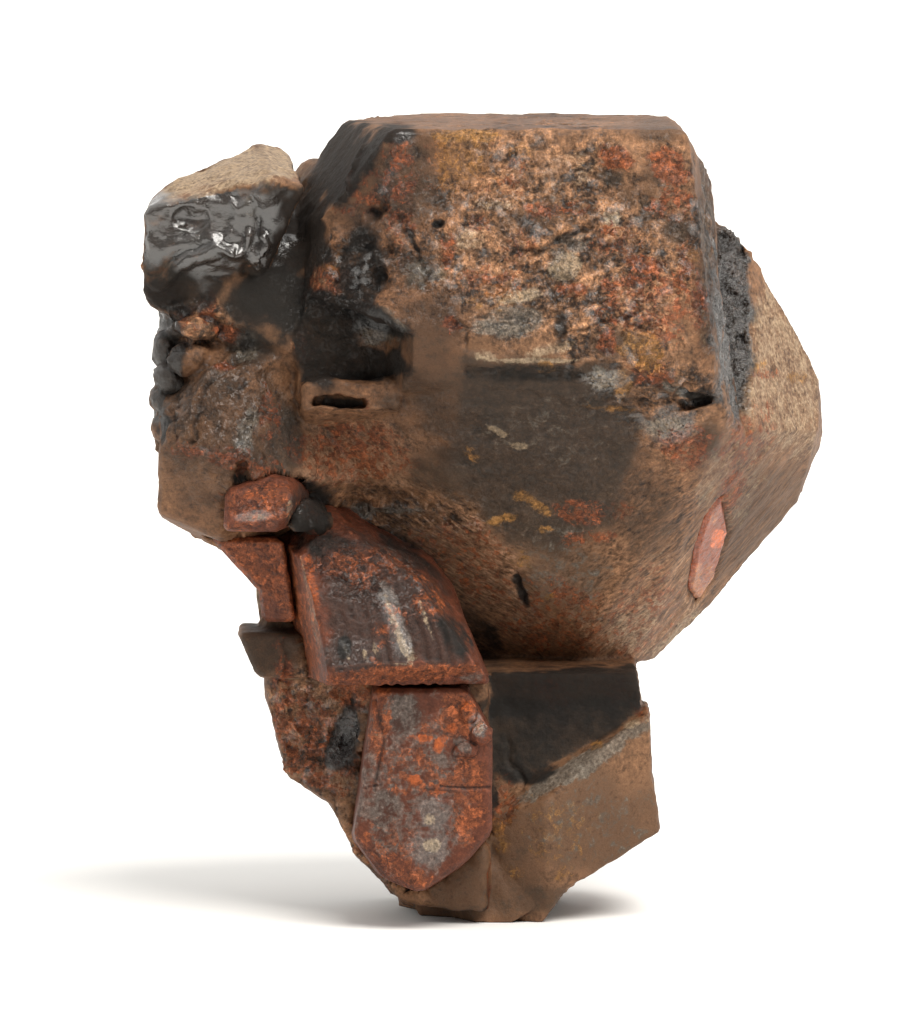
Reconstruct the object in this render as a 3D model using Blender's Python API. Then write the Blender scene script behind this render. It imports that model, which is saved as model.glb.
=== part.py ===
"""Betafite with zircon: an intergrown cluster of dark octahedral crystals with smaller red-brown zircon crystals.

Run with: blender --background --python part.py
Axes: +X to the right and -Y to the front of the photographed side, +Z up. The specimen stands on z = 0.
Sizes below are in millimetres and are turned into metres when a mesh is made.
"""

import math

import bmesh
import bpy
from mathutils import Matrix, Vector

MM = 0.001

# Driving sizes, in millimetres: the half-width of the block that a crystal is cut from, the gap round a seated
# crystal, the width of a worn edge, the step that keeps two blocks' faces out of one plane, and the distance
# under which two corners become one.
BLANK = 60.0
SEAM = 0.15
EDGE = 0.16
SET_IN = 0.015
WELD = 0.02

# Finishes, as red, green, blue, roughness and metallic.
BETAFITE_LOOK = ((0.060, 0.042, 0.032), 0.42, 0.0)
ZIRCON_LOOK = ((0.145, 0.050, 0.032), 0.38, 0.0)
SLIVER_LOOK = ((0.420, 0.140, 0.095), 0.40, 0.0)

# Each crystal is a list of faces: (azimuth, elevation, a point that the face passes through).
# Azimuth 0 is right, -90 front, 90 back and 180 left; elevation is above the horizon, in degrees.

# Faces that several blocks of the large crystal share.
UPPER_FRONT = (-90, 9, (-0.4, -8.2, 19.6))
LOWER_FACES = [
    (-90, -35, (-0.4, -8.2, 19.6)),
    (-55, -42, (6.9, -5.1, 15.1)),
    (-31, -36, (7.6, -4.3, 14.9)),
    (-12, -32, (10.4, 0.6, 13.5)),
    (-5, -41, (9.85, 1.0, 11.7)),
    (0, -53, (7.4, 0.4, 8.9)),
    (-113, -31, (-0.9, -6.9, 17.7)),
    (-114, -45, (-0.6, -4.5, 14.3)),
    (25, -38, (11.35, 3.0, 14.0)),
    (65, -38, (6.6, 7.6, 14.6)),
    (105, -38, (1.0, 6.8, 14.6)),
    (150, -36, (-4.2, 3.2, 14.2)),
    (0, -90, (0, 0, 8.4)),
]

MAIN_TOP = [
    (-90, 88, (2.0, -7.0, 27.35)),
    UPPER_FRONT,
    (-10, 8, (7.06, -7.2, 26.6)),
    (0, 31, (7.96, -3.0, 25.5)),
    (-117, 7, (-3.2, -7.1, 26.6)),
    (-163, 34, (-4.7, -1.0, 27.6)),
    (150, 30, (-4.7, -0.6, 27.6)),
    (-160, 6, (-5.5, -6.3, 23.6)),
    (85, 12, (0, 4.6, 23.0)),
    (40, 14, (6.8, 3.0, 24.0)),
    (-90, -35, (-0.4, -8.2, 19.6)),
    (-100, -62, (-2.2, -8.0, 18.95)),
    (4, 2, (8.0, -3.0, 25.5)),
    (0, -90, (0, 0, 18.0)),
]

MAIN_LOWER = LOWER_FACES + [
    UPPER_FRONT,
    (-5, 24, (8.9, -5.0, 17.2)),
    (0, 90, (0, 0, 19.5)),
    (180, 0, (-6.4, 0, 16)),
    (90, 14, (0, 6.0, 19.0)),
]

MAIN_RIGHT = LOWER_FACES + [
    (-28, 14, (9.34, -3.4, 18.6)),
    (35, 37, (11.15, 0.7, 19.9)),
    (-87, 27, (9.34, -3.4, 18.6)),
    (0, 45, (8.86, -1.0, 23.6)),
    (-10, 20, (11.5, 0.7, 19.1)),
    (-5, 2, (11.85, 0.5, 17.7)),
    (-8, -20, (11.85, 0.5, 16.7)),
    (75, 28, (6.0, 6.6, 20.0)),
    (110, 30, (1.0, 7.0, 20.0)),
    (150, 30, (-4.0, 4.0, 20.5)),
    (-90, 80, (4.0, 0, 25.0)),
    (180, 0, (-3.4, 0, 18)),
]

# The smooth dark face between the large crystal and the glossy one.
SADDLE = [
    (-163, 34, (-4.75, -1.0, 27.5)),
    (0, 90, (0, 0, 26.2)),
    (-112, 14, (-6.5, -4.7, 23.4)),
    (180, 0, (-9.0, -3.0, 23.0)),
    (90, 0, (-7.0, 1.0, 23.0)),
    (0, 0, (-3.6, -3.0, 23.0)),
    (0, -90, (0, 0, 20.4)),
]

# The front face reaches lower at its right corner.
CORNER = [
    UPPER_FRONT,
    (-10, 8, (7.06, -7.2, 26.6)),
    (-101, -37, (5.0, -8.25, 19.6)),
    (-50, -42, (8.1, -7.3, 18.2)),
    (0, 90, (0, 0, 21.0)),
    (180, 0, (4.2, 0, 19.0)),
    (90, 0, (0, -4.0, 19.0)),
    (0, -90, (0, 0, 15.5)),
]

GLOSSY_LEFT = [
    (-140, 69, (-11.3, -5.5, 24.8)),
    (-26, 68, (-7.4, -5.5, 26.0)),
    (140, 40, (-8.2, -1.8, 26.75)),
    (90, 45, (-7.0, -1.0, 26.6)),
    (180, 2, (-11.6, -5.0, 24.0)),
    (-175, 45, (-11.45, -5.0, 24.7)),
    (-97, -5, (-9.8, -5.7, 23.6)),
    (-84, -35, (-9.55, -5.75, 22.8)),
    (0, 35, (-6.08, -2.0, 25.6)),
    (10, -22, (-6.12, -5.0, 25.3)),
    (90, 0, (-9, 1.5, 24)),
    (150, 20, (-11.0, -0.5, 24.0)),
    (180, -45, (-11.6, -4.0, 21.5)),
    (0, -90, (0, 0, 20.2)),
]

MIDDLE_LEFT = [
    (-84, 17, (-8.1, -5.5, 21.6)),
    (-100, 62, (-6.3, -4.85, 23.5)),
    (-95, 3, (-7.5, -5.7, 20.3)),
    (-172, 2, (-11.05, -3.5, 19.0)),
    (-135, 6, (-10.75, -5.15, 19.0)),
    (-160, 40, (-11.0, -4.0, 21.6)),
    (0, 0, (-4.7, 0, 18)),
    (90, 10, (-8, 2.4, 18)),
    (145, 0, (-9.8, 1.2, 17)),
    (90, 45, (-8.0, 1.0, 23.0)),
    (-113, -31, (-3.2, -5.9, 17.7)),
    (-105, -60, (-5.0, -4.2, 14.9)),
    (150, -45, (-9.0, 1.0, 15.0)),
    (-160, -45, (-9.5, -3.5, 14.2)),
    (0, -90, (0, 0, 13.4)),
]

BROWN_LEFT = [
    (-90, 12, (-9.16, -6.4, 19.1)),
    (-149, 32, (-9.16, -6.4, 19.1)),
    (180, 2, (-11.12, -4.5, 17.0)),
    (-103, -28, (-10.26, -7.0, 16.8)),
    (-155, -64, (-11.05, -4.5, 13.9)),
    (-105, 62, (-8.8, -6.2, 19.2)),
    (-50, 8, (-7.7, -6.7, 17.2)),
    (-50, -50, (-8.8, -5.8, 13.8)),
    (90, 0, (-9, -1.0, 17)),
    (150, -30, (-10.5, -2.0, 14.5)),
]

LEDGE_BAR = [
    (-92, 4, (-4.6, -6.7, 18.4)),
    (-90, 82, (-4.6, -6.6, 18.75)),
    (-90, -70, (-4.6, -6.5, 17.75)),
    (180, 0, (-6.15, -6, 18.4)),
    (0, 0, (-2.75, -6, 18.4)),
    (90, 0, (-4.6, -3.0, 18.4)),
]

LOWER_BACK = [
    (-95, 12, (3.0, -3.9, 7.1)),
    (-65, -5, (2.3, -5.6, 2.0)),
    (0, 8, (5.5, -3.0, 8.7)),
    (-90, 88, (2.0, -3.6, 8.6)),
    (180, 0, (-3.0, 0, 6)),
    (-150, -10, (-2.6, -3.2, 6)),
    (90, 12, (1.0, 4.2, 6)),
    (40, 5, (5.0, 2.8, 6)),
    (30, -40, (4.2, 2.0, 1.6)),
    (-10, -58, (5.54, -2.0, 2.3)),
    (130, -20, (-1.5, 3.6, 5)),
    (0, -90, (0, 0, -0.5)),
]

LOWER_FRONT = [
    (-65, -5, (2.3, -5.6, 2.0)),
    (-115, -8, (2.3, -5.6, 2.0)),
    (-135, 51, (1.4, -4.5, 4.7)),
    (0, 2, (6.05, -2.0, 4.5)),
    (90, 87, (0, -4.0, 7.5)),
    (-10, -58, (5.54, -2.0, 2.3)),
    (-15, -52, (4.3, -3.0, 1.7)),
    (180, -30, (-2.6, -3.0, 0.5)),
    (90, 5, (2.0, 2.6, 3)),
    (40, -35, (3.6, 2.6, 1.6)),
    (0, -90, (0, 0, -0.7)),
]

TOE = [
    (-65, -5, (2.3, -5.6, 2.0)),
    (-115, -8, (2.3, -5.6, 2.0)),
    (0, -38, (2.3, -5.6, 0.0)),
    (60, -40, (1.6, 2.2, 0.0)),
    (110, -40, (0.4, 2.8, 0.0)),
    (-170, -72, (-1.7, -4.5, 0.0)),
    (160, -40, (-1.9, 1.0, 0.0)),
    (180, 0, (-3.0, -2.0, 1.0)),
    (0, 90, (0, 0, 1.5)),
    (0, -90, (0, 0, -0.9)),
]

ROOT_UPPER = [
    (-108, 5, (-5.6, -4.4, 7.3)),
    (180, -5, (-7.65, -3, 7.9)),
    (-178, -15, (-7.28, -3, 6.3)),
    (-172, -57, (-5.95, -3, 4.2)),
    (-90, 0, (-3.5, -4.9, 5)),
    (0, 0, (0.4, -2, 5)),
    (35, 50, (-3.5, -3.0, 10.3)),
    (120, -5, (-4.5, 1.0, 7)),
    (90, -40, (-3.0, 1.0, 4)),
    (90, 30, (-4, 1.4, 12)),
    (-100, 30, (-5, -4.0, 11.0)),
    (0, -90, (0, 0, 2.4)),
]

ROOT_LOWER = [
    (-100, 0, (-3.6, -5.2, 4)),
    (-176, -28, (-5.06, -3.5, 3.2)),
    (-172, -45, (-3.3, -4.5, 1.0)),
    (-160, -75, (-2.3, -4.8, 0.42)),
    (0, 90, (0, 0, 4.6)),
    (-180, 60, (-5.4, -3.0, 4.2)),
    (0, 0, (0.4, -2, 5)),
    (110, -20, (-3.4, 0.4, 3)),
    (0, -90, (0, 0, 0.3)),
]

DARK_TIP = [
    (-100, 5, (-7.4, -4.7, 9.6)),
    (180, -24, (-8.7, -4, 10.1)),
    (-90, 85, (-7.6, -3.8, 10.2)),
    (0, 0, (-5.8, -3, 9.5)),
    (0, -90, (-7, -3, 8.2)),
    (90, 0, (-7.6, -2.0, 9.5)),
]

DARK_NUB = [
    (-100, 8, (-6.3, -6.8, 14.3)),
    (-35, 10, (-5.75, -6.4, 14.3)),
    (-95, 62, (-6.2, -6.3, 15.05)),
    (-5, 45, (-5.9, -5.6, 15.0)),
    (180, 0, (-7.0, -6, 14.4)),
    (-90, -50, (-6.2, -6.6, 13.6)),
    (0, -90, (-6.2, -6, 13.4)),
    (90, 0, (-6.2, -3.5, 14.4)),
]

# The sliver lies almost flush in the lower right face.
SLIVER = [
    (-31, -36, (7.63, -4.31, 14.87)),
    (149, 36, (7.0, -3.9, 15.4)),
    (20, 41, (8.34, -2.54, 14.53)),
    (40, 24, (8.68, -0.12, 13.21)),
    (57, 2, (8.25, 1.59, 11.49)),
    (-171, -46, (7.67, 2.01, 10.5)),
    (-146, -30, (7.31, 0.66, 11.04)),
    (-139, -23, (7.49, -1.22, 12.59)),
    (-105, 21, (7.89, -2.61, 14.05)),
]

RED_PLATE = [
    (-111, -8, (-9.17, -4.3, 13.1)),
    (180, -6, (-7.6, -4.0, 10.7)),
    (0, 90, (-7.8, -4.0, 13.3)),
    (13, 9, (-6.46, -6.0, 12.6)),
    (0, -90, (-7.0, -4.0, 10.35)),
    (90, 0, (-7.8, -2.6, 11.0)),
]

RED_WING = [
    (-111, -8, (-9.17, -4.3, 13.1)),
    (-178, -42, (-9.17, -4.2, 13.05)),
    (0, 90, (-7.8, -4.0, 13.27)),
    (0, 0, (-7.2, -4.0, 12.0)),
    (0, -90, (-7.0, -4.0, 10.5)),
    (90, 0, (-7.8, -2.7, 11.0)),
]

ROOF_PRISM = [
    (-167, -9, (-6.31, -6.0, 12.6)),
    (-90, 12, (-5.5, -7.5, 11.35)),
    (-84, 42, (-5.3, -6.1, 13.0)),
    (-84, 66, (-4.7, -5.4, 13.5)),
    (-20, 59, (-4.2, -5.6, 13.3)),
    (-12, 38, (-1.7, -6.0, 11.6)),
    (0, 22, (0.05, -6.0, 8.9)),
    (-155, 50, (-5.9, -5.4, 13.3)),
    (-125, -48, (-5.3, -7.6, 8.6)),
    (-85, -45, (-3.4, -8.0, 9.0)),
    (0, -90, (-3.4, -7.0, 8.45)),
    (90, 0, (-3.4, -2.8, 10)),
]

TABLET = [
    (-92, 3, (-1.8, -7.4, 4.6)),
    (0, 0, (0.36, -7.0, 5.0)),
    (0, 30, (0.2, -7.3, 7.0)),
    (-178, 8, (-4.1, -7.2, 5.2)),
    (-172, -36, (-4.4, -7.0, 3.2)),
    (-165, -68, (-3.3, -7.0, 1.75)),
    (-12, -55, (-2.1, -7.3, 1.3)),
    (-5, -41, (-0.4, -7.3, 2.5)),
    (0, 90, (-2, -7, 8.3)),
    (90, 0, (-2, -4.6, 4.6)),
]

# Hollows cut into the blocks.
RECESS = [
    (-90, 0, (-4.5, -9.0, 20.0)),
    (92, 0, (-4.5, -5.6, 20.0)),
    (20, 0, (-2.7, -7.0, 20.0)),
    (0, 70, (-4.6, -7.0, 21.25)),
    (180, 20, (-6.4, -7.0, 20.0)),
    (0, -90, (0, 0, 18.3)),
]

BAR_SLOT = [
    (-90, 0, (-4.9, -8.0, 18.1)),
    (90, 10, (-4.9, -6.0, 18.1)),
    (0, 0, (-4.0, -7.0, 18.1)),
    (180, 0, (-5.75, -7.0, 18.1)),
    (0, 88, (-4.9, -7.0, 18.3)),
    (0, -88, (-4.9, -7.0, 17.88)),
]

EDGE_CHIP = [
    (-60, 0, (7.8, -9.5, 18.2)),
    (110, 20, (7.3, -7.0, 18.2)),
    (20, 60, (7.4, -7.6, 18.5)),
    (-10, -75, (7.4, -7.6, 17.95)),
    (180, 30, (6.5, -7.8, 18.3)),
    (0, 0, (9.5, -7.8, 18.3)),
]

# Rounded lumps and pits: (centre, the three half-widths).
LUMPS = {
    "lump_a": ((-10.85, -3.6, 19.7), (0.42, 1.1, 0.7)),
    "lump_b": ((-10.75, -4.3, 18.75), (0.5, 0.9, 0.55)),
    "lump_c": ((-10.8, -3.9, 18.0), (0.62, 1.0, 0.55)),
    "lump_d": ((-10.85, -4.1, 17.0), (0.56, 1.0, 0.6)),
    "lump_e": ((-10.0, -4.95, 19.45), (0.8, 0.75, 0.6)),
    "lump_f": ((-9.7, -5.1, 20.5), (0.8, 0.7, 0.45)),
    "lump_g": ((-8.0, -5.4, 23.7), (0.5, 0.6, 1.1)),
    "mound_a": ((0.6, -7.95, 20.5), (1.7, 0.35, 0.55)),
    "mound_b": ((3.6, -7.9, 20.7), (1.5, 0.35, 0.7)),
    "mound_c": ((6.2, -7.7, 20.6), (0.9, 0.35, 1.1)),
    "mound_d": ((5.2, -7.45, 22.6), (1.5, 0.3, 0.8)),
    "mound_e": ((2.2, -7.35, 23.2), (1.8, 0.28, 0.6)),
    "mound_f": ((5.6, -7.05, 25.3), (0.9, 0.3, 0.9)),
    "mound_g": ((-0.6, -7.45, 22.4), (1.0, 0.3, 0.7)),
}

# Blocks joined to the lower half of the large crystal, and notches cut before the bar is added.
BLOCKS = {
    "main_top": MAIN_TOP,
    "main_right": MAIN_RIGHT,
    "corner": CORNER,
    "saddle": SADDLE,
    "glossy_left": GLOSSY_LEFT,
    "middle_left": MIDDLE_LEFT,
    "brown_left": BROWN_LEFT,
    "lower_back": LOWER_BACK,
    "lower_front": LOWER_FRONT,
    "toe": TOE,
    "root_upper": ROOT_UPPER,
    "root_lower": ROOT_LOWER,
    "dark_tip": DARK_TIP,
    "dark_nub": DARK_NUB,
}

NOTCHES = {
    "recess": RECESS,
    "edge_chip": EDGE_CHIP,
}

# Small grains on the upper right corner of the tablet.
GRAINS = {
    "grain_a": ((0.0, -7.35, 6.75), (0.45, 0.35, 0.45)),
    "grain_b": ((-0.45, -7.3, 7.45), (0.36, 0.3, 0.4)),
    "grain_c": ((-0.55, -7.4, 6.2), (0.5, 0.25, 0.3)),
}

PITS = {
    "glossy_pit": ((-9.95, -6.1, 24.25), (0.9, 0.75, 0.6)),
    "glossy_scoop": ((-9.6, -6.6, 23.55), (1.2, 1.0, 0.35)),
    "dark_hole": ((-8.15, -6.9, 15.75), (0.3, 0.6, 0.35)),
    "root_pit": ((-4.7, -5.1, 6.2), (0.5, 0.6, 0.85)),
    "corner_pit": ((-4.0, -8.0, 23.4), (0.7, 0.9, 0.8)),
    "corner_hollow": ((-3.9, -7.9, 22.2), (0.9, 0.8, 0.6)),
}

GROUND = [
    (0, 90, (0, 0, 0)),
    (0, -90, (0, 0, -4)),
    (0, 0, (15, 0, 0)),
    (180, 0, (-15, 0, 0)),
    (90, 0, (0, 15, 0)),
    (-90, 0, (0, -15, 0)),
]

KNOB = [
    (-98, 15, (-7.4, -7.4, 14.5)),
    (-90, -45, (-7.4, -7.3, 13.9)),
    (-95, 55, (-7.4, -6.9, 15.3)),
    (180, 3, (-8.75, -6.5, 14.6)),
    (-175, 68, (-8.2, -6.5, 15.25)),
    (0, 75, (-6.8, -6.5, 15.5)),
    (-10, 20, (-6.3, -6.5, 15.0)),
    (-10, -28, (-6.4, -6.5, 14.3)),
    (0, -90, (-7.4, -6.5, 13.65)),
    (90, 0, (-7.4, -4.5, 14.6)),
]


def clear_scene():
    for obj in list(bpy.data.objects):
        bpy.data.objects.remove(obj)


def collection(name):
    made = bpy.data.collections.new(name)
    bpy.context.scene.collection.children.link(made)
    return made


def material(name, look):
    colour, roughness, metallic = look
    made = bpy.data.materials.new(name)
    made.use_nodes = True
    shader = made.node_tree.nodes["Principled BSDF"]
    shader.inputs["Base Color"].default_value = (*colour, 1.0)
    shader.inputs["Roughness"].default_value = roughness
    shader.inputs["Metallic"].default_value = metallic
    return made


def facing(azimuth, elevation):
    """The unit vector that points that way."""
    around, above = math.radians(azimuth), math.radians(elevation)
    return Vector((math.cos(around) * math.cos(above), math.sin(around) * math.cos(above), math.sin(above)))


def cut_by(shape, normal, point):
    """Takes away what lies beyond a plane and closes the cut with one flat face."""
    whole = shape.verts[:] + shape.edges[:] + shape.faces[:]
    cut = bmesh.ops.bisect_plane(
        shape, geom=whole, plane_co=point, plane_no=normal, dist=1e-6, clear_outer=True
    )
    rim = [item for item in cut["geom_cut"] if isinstance(item, bmesh.types.BMEdge)]
    if rim:
        bmesh.ops.contextual_create(shape, geom=rim)


def crystal_mesh(name, faces, edge=EDGE, grown=0.0):
    """A block cut back face by face, with its edges a little worn. Each face lies out by the grown width."""
    shape = bmesh.new()
    bmesh.ops.create_cube(shape, size=2 * BLANK)
    for azimuth, elevation, point in faces:
        normal = facing(azimuth, elevation)
        cut_by(shape, normal, Vector(point) + normal * grown)
    bmesh.ops.remove_doubles(shape, verts=shape.verts[:], dist=WELD)
    if edge:
        bmesh.ops.bevel(
            shape,
            geom=shape.edges[:],
            offset=edge,
            segments=1,
            profile=0.5,
            affect="EDGES",
            clamp_overlap=True,
            material=-1,
        )
        bmesh.ops.remove_doubles(shape, verts=shape.verts[:], dist=WELD)
    bmesh.ops.recalc_face_normals(shape, faces=shape.faces[:])
    bmesh.ops.transform(shape, matrix=Matrix.Scale(MM, 4), verts=shape.verts[:])
    mesh = bpy.data.meshes.new(name)
    shape.to_mesh(mesh)
    shape.free()
    return mesh


def lump_mesh(name, centre, halves, detail=2):
    """A rounded lump, from its centre and its half-widths along X, Y and Z."""
    shape = bmesh.new()
    bmesh.ops.create_icosphere(shape, subdivisions=detail, radius=1.0)
    bmesh.ops.scale(shape, vec=Vector(halves), verts=shape.verts[:])
    bmesh.ops.translate(shape, vec=Vector(centre), verts=shape.verts[:])
    bmesh.ops.transform(shape, matrix=Matrix.Scale(MM, 4), verts=shape.verts[:])
    mesh = bpy.data.meshes.new(name)
    shape.to_mesh(mesh)
    shape.free()
    return mesh


def place(name, mesh, home, look=None):
    obj = bpy.data.objects.new(name, mesh)
    home.objects.link(obj)
    if look:
        mesh.materials.append(look)
    return obj


def helper(name, mesh, home):
    obj = place(name, mesh, home)
    obj.hide_render = True
    obj.display_type = "WIRE"
    return obj


def boolean(host, other, operation):
    step = host.modifiers.new(other.name, "BOOLEAN")
    step.object = other
    step.operation = operation
    step.solver = "EXACT"


def build_betafite(home, cutters, look):
    """The dark crystals joined in one body, with its lumps, hollows and flat base."""
    body = place("betafite", crystal_mesh("betafite", MAIN_LOWER), home, look)
    for count, (name, faces) in enumerate(BLOCKS.items(), 1):
        # Each block is set in a little more than the last, so that no two of their faces lie in one plane.
        block = crystal_mesh(name, faces, grown=-SET_IN * count)
        boolean(body, helper(name, block, cutters), "UNION")
    for name, faces in NOTCHES.items():
        boolean(body, helper(name, crystal_mesh(name, faces, edge=0.0), cutters), "DIFFERENCE")
    boolean(body, helper("ledge_bar", crystal_mesh("ledge_bar", LEDGE_BAR), cutters), "UNION")
    boolean(body, helper("bar_slot", crystal_mesh("bar_slot", BAR_SLOT, edge=0.0), cutters), "DIFFERENCE")
    for name, (centre, halves) in LUMPS.items():
        boolean(body, helper(name, lump_mesh(name, centre, halves), cutters), "UNION")
    for name, (centre, halves) in PITS.items():
        boolean(body, helper(name, lump_mesh(name, centre, halves), cutters), "DIFFERENCE")
    boolean(body, helper("ground", crystal_mesh("ground", GROUND, edge=0.0), cutters), "DIFFERENCE")
    return body


def add_zircon(name, faces, body, home, cutters, look):
    """A separate crystal, with its seat cut in the dark body."""
    crystal = place(name, crystal_mesh(name, faces), home, look)
    seat = crystal_mesh(name + "_seat", faces, grown=SEAM)
    boolean(body, helper(name + "_seat", seat, cutters), "DIFFERENCE")
    return crystal


def main():
    clear_scene()
    parts = collection("Betafite with zircon")
    cutters = collection("Cutters")
    dark = material("betafite", BETAFITE_LOOK)
    red = material("zircon", ZIRCON_LOOK)
    salmon = material("zircon_sliver", SLIVER_LOOK)
    body = build_betafite(parts, cutters, dark)
    plate = add_zircon("zircon_plate", RED_PLATE, body, parts, cutters, red)
    boolean(plate, helper("wing", crystal_mesh("wing", RED_WING), cutters), "UNION")
    wing_seat = crystal_mesh("wing_seat", RED_WING, grown=SEAM + SET_IN)
    boolean(body, helper("wing_seat", wing_seat, cutters), "DIFFERENCE")
    add_zircon("zircon_prism", ROOF_PRISM, body, parts, cutters, red)
    tablet = add_zircon("zircon_tablet", TABLET, body, parts, cutters, red)
    for name, (centre, halves) in GRAINS.items():
        grain = lump_mesh(name, centre, halves, detail=1)
        boolean(tablet, helper(name, grain, cutters), "UNION")
    add_zircon("zircon_knob", KNOB, body, parts, cutters, red)
    add_zircon("zircon_sliver", SLIVER, body, parts, cutters, salmon)


main()
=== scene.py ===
"""Looks of the betafite with zircon specimen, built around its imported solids.

Every crystal is a fine copy of its solid, with its own relief and its own staining. Lengths are in
millimetres while a surface is shaped, and in metres in the scene.
"""

import math

import bmesh
import bpy
import numpy as np
from bpy.props import FloatProperty, FloatVectorProperty, IntProperty, PointerProperty
from mathutils import Matrix, Vector, noise
from mathutils.bvhtree import BVHTree


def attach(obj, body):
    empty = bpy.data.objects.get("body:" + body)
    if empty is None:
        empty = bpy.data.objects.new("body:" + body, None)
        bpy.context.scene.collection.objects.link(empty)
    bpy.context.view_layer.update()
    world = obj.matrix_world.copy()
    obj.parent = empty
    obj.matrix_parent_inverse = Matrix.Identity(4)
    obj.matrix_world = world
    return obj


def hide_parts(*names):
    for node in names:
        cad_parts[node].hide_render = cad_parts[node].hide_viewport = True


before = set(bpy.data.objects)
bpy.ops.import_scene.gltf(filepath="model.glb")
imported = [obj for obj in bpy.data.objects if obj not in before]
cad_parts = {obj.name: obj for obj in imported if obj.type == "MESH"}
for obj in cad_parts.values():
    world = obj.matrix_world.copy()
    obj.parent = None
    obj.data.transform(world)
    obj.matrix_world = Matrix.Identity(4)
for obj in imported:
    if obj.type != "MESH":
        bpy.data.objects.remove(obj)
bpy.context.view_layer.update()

bl_info = {
    "name": "Betafite with zircon",
    "version": (1, 0, 0),
    "blender": (4, 5, 0),
    "location": "3D View > Sidebar > Specimen",
    "description": "Relief, stains and finishes for a cluster of dark crystals with red-brown zircons",
    "category": "Object",
}

MM = 0.001
# Without a seed, the drift noise follows the clock.
DRIFT_SEED = 7

# The ribs of the striated prism, from one to the next and in height.
RIB_SPACING = 0.42
RIB_HEIGHT = 0.035

# The thin clear layer of glossy parts and glints, and the dull mineral under it.
GLAZE_ROUGHNESS = 0.13
GLAZE_IOR = 1.95
MINERAL_IOR = 1.35

# What a dark brown film leaves of the colour under it, and how an ashen bloom lifts it.
UMBER_FILM = (0.34, 0.27, 0.22)
ASHEN_BLOOM = (1.45, 1.6, 1.85)

# The front view: its frame in steps, the size of one step at the middle of the specimen, the point looked
# at, the height of the eye over it in degrees, how far the eye stands away, the width of the sensor, and half
# the floor, in metres.
FRAME_WIDE, FRAME_HIGH = 920, 1024
STEP = 0.035
AIM = Vector((-0.735, 0.0, 13.83))
EYE_RISE = 4.0
EYE_DISTANCE = 260.0
SENSOR = 36.0
FLOOR_HALF = 60.0

# The large soft light: its azimuth and elevation, its width in degrees, and its tone.
KEY_FROM = (-58, 55)
KEY_SPREAD = 34
KEY_TONE = (1.0, 0.965, 0.91)


def toward_eye():
    rise = math.radians(EYE_RISE)
    return Vector((0.0, -math.cos(rise), math.sin(rise)))


# Patches are placed in steps right and down from the top left corner of the front view:
# (right, down, half-width, half-height, turn in degrees, strength).

COARSE = [
    (560, 245, 185, 125, 0, 1.0), (660, 390, 70, 60, 20, 0.9), (415, 240, 50, 100, 0, 0.65),
    (350, 320, 70, 80, 0, 0.35), (225, 420, 80, 80, 0, 0.6), (400, 420, 110, 40, 0, 0.35),
    (570, 470, 160, 100, 0, 0.25), (357, 265, 38, 55, 8, 1.0), (325, 280, 25, 30, 8, 0.6),
    (733, 310, 22, 120, 0, 1.0), (310, 730, 60, 90, 0, 0.8), (190, 325, 60, 30, 0, 0.8),
    (240, 400, 40, 60, 0, 0.4), (240, 475, 80, 20, 10, 0.5), (400, 505, 110, 22, 5, 0.6),
]

PITTED = [
    (362, 255, 30, 60, 8, 1.0), (733, 310, 22, 110, 0, 0.9), (310, 720, 50, 70, 0, 0.7),
    (340, 800, 20, 60, -20, 0.7),
]

MOLTEN = [
    (215, 225, 85, 62, -10, 1.0), (172, 370, 26, 75, 0, 0.35), (180, 310, 40, 22, 0, 0.4),
    (190, 282, 50, 28, -20, 0.5),
]

UNEVEN = [
    (350, 345, 70, 75, 0, 1.0), (170, 380, 30, 90, 0, 0.7), (200, 340, 50, 40, 0, 0.5),
    (300, 220, 26, 60, 0, 0.7), (350, 402, 70, 20, 0, 0.6), (338, 402, 44, 16, 0, 1.5),
    (310, 720, 60, 90, 0, 0.7), (480, 725, 34, 40, 0, 0.5), (605, 375, 40, 24, 0, 0.6),
    (670, 415, 40, 24, 0, 0.6), (440, 890, 70, 26, 0, 0.6), (487, 880, 14, 60, 0, 0.8),
]

STREAKED_RIGHT = [
    (650, 570, 80, 120, 25, 1.0), (780, 380, 70, 130, 0, 0.5), (740, 540, 60, 120, 30, 0.9),
    (705, 300, 14, 110, 0, 0.5),
]

STREAKED_LEFT = [
    (455, 585, 110, 90, 40, 1.0), (340, 450, 70, 50, 0, 0.4), (560, 705, 90, 50, 0, 0.3),
]

# Black patches: the glossy black crystal and the saddle beside it, and painted shade in the hollow, the pits,
# the grooves and the dark band under the ridge.
BLACK = [
    (335, 165, 55, 34, -48, 1.0), (285, 235, 42, 58, -20, 1.0), (326, 342, 38, 52, 0, 1.0),
    (372, 364, 42, 18, 0, 0.95), (205, 225, 90, 75, 0, 0.9), (165, 350, 25, 50, 0, 1.0),
    (158, 410, 14, 35, 0, 0.7), (525, 374, 66, 12, 0, 0.6), (733, 310, 24, 125, 0, 0.8),
    (540, 776, 22, 9, -20, 0.9), (494, 800, 5, 40, 0, 0.9), (395, 132, 22, 12, 0, 0.9),
    (362, 262, 26, 50, 0, 0.78), (272, 302, 52, 48, 0, 1.0), (185, 284, 52, 34, -20, 1.0),
    (300, 215, 30, 60, 0, 1.0), (320, 160, 40, 40, 0, 1.0), (240, 482, 12, 10, 0, 1.0),
    (342, 403, 26, 6, 0, 1.0), (700, 398, 20, 10, 20, 0.9), (345, 735, 18, 34, 10, 1.0),
    (565, 240, 36, 12, -28, 0.45), (438, 223, 8, 5, 0, 0.8), (412, 238, 4, 22, -25, 0.7),
    (520, 590, 5, 20, -28, 0.9), (308, 510, 30, 28, 0, 1.0), (480, 640, 20, 50, -30, 0.6),
    (395, 545, 60, 12, 30, 0.6), (560, 325, 8, 22, 0, 0.6),
]
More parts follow.
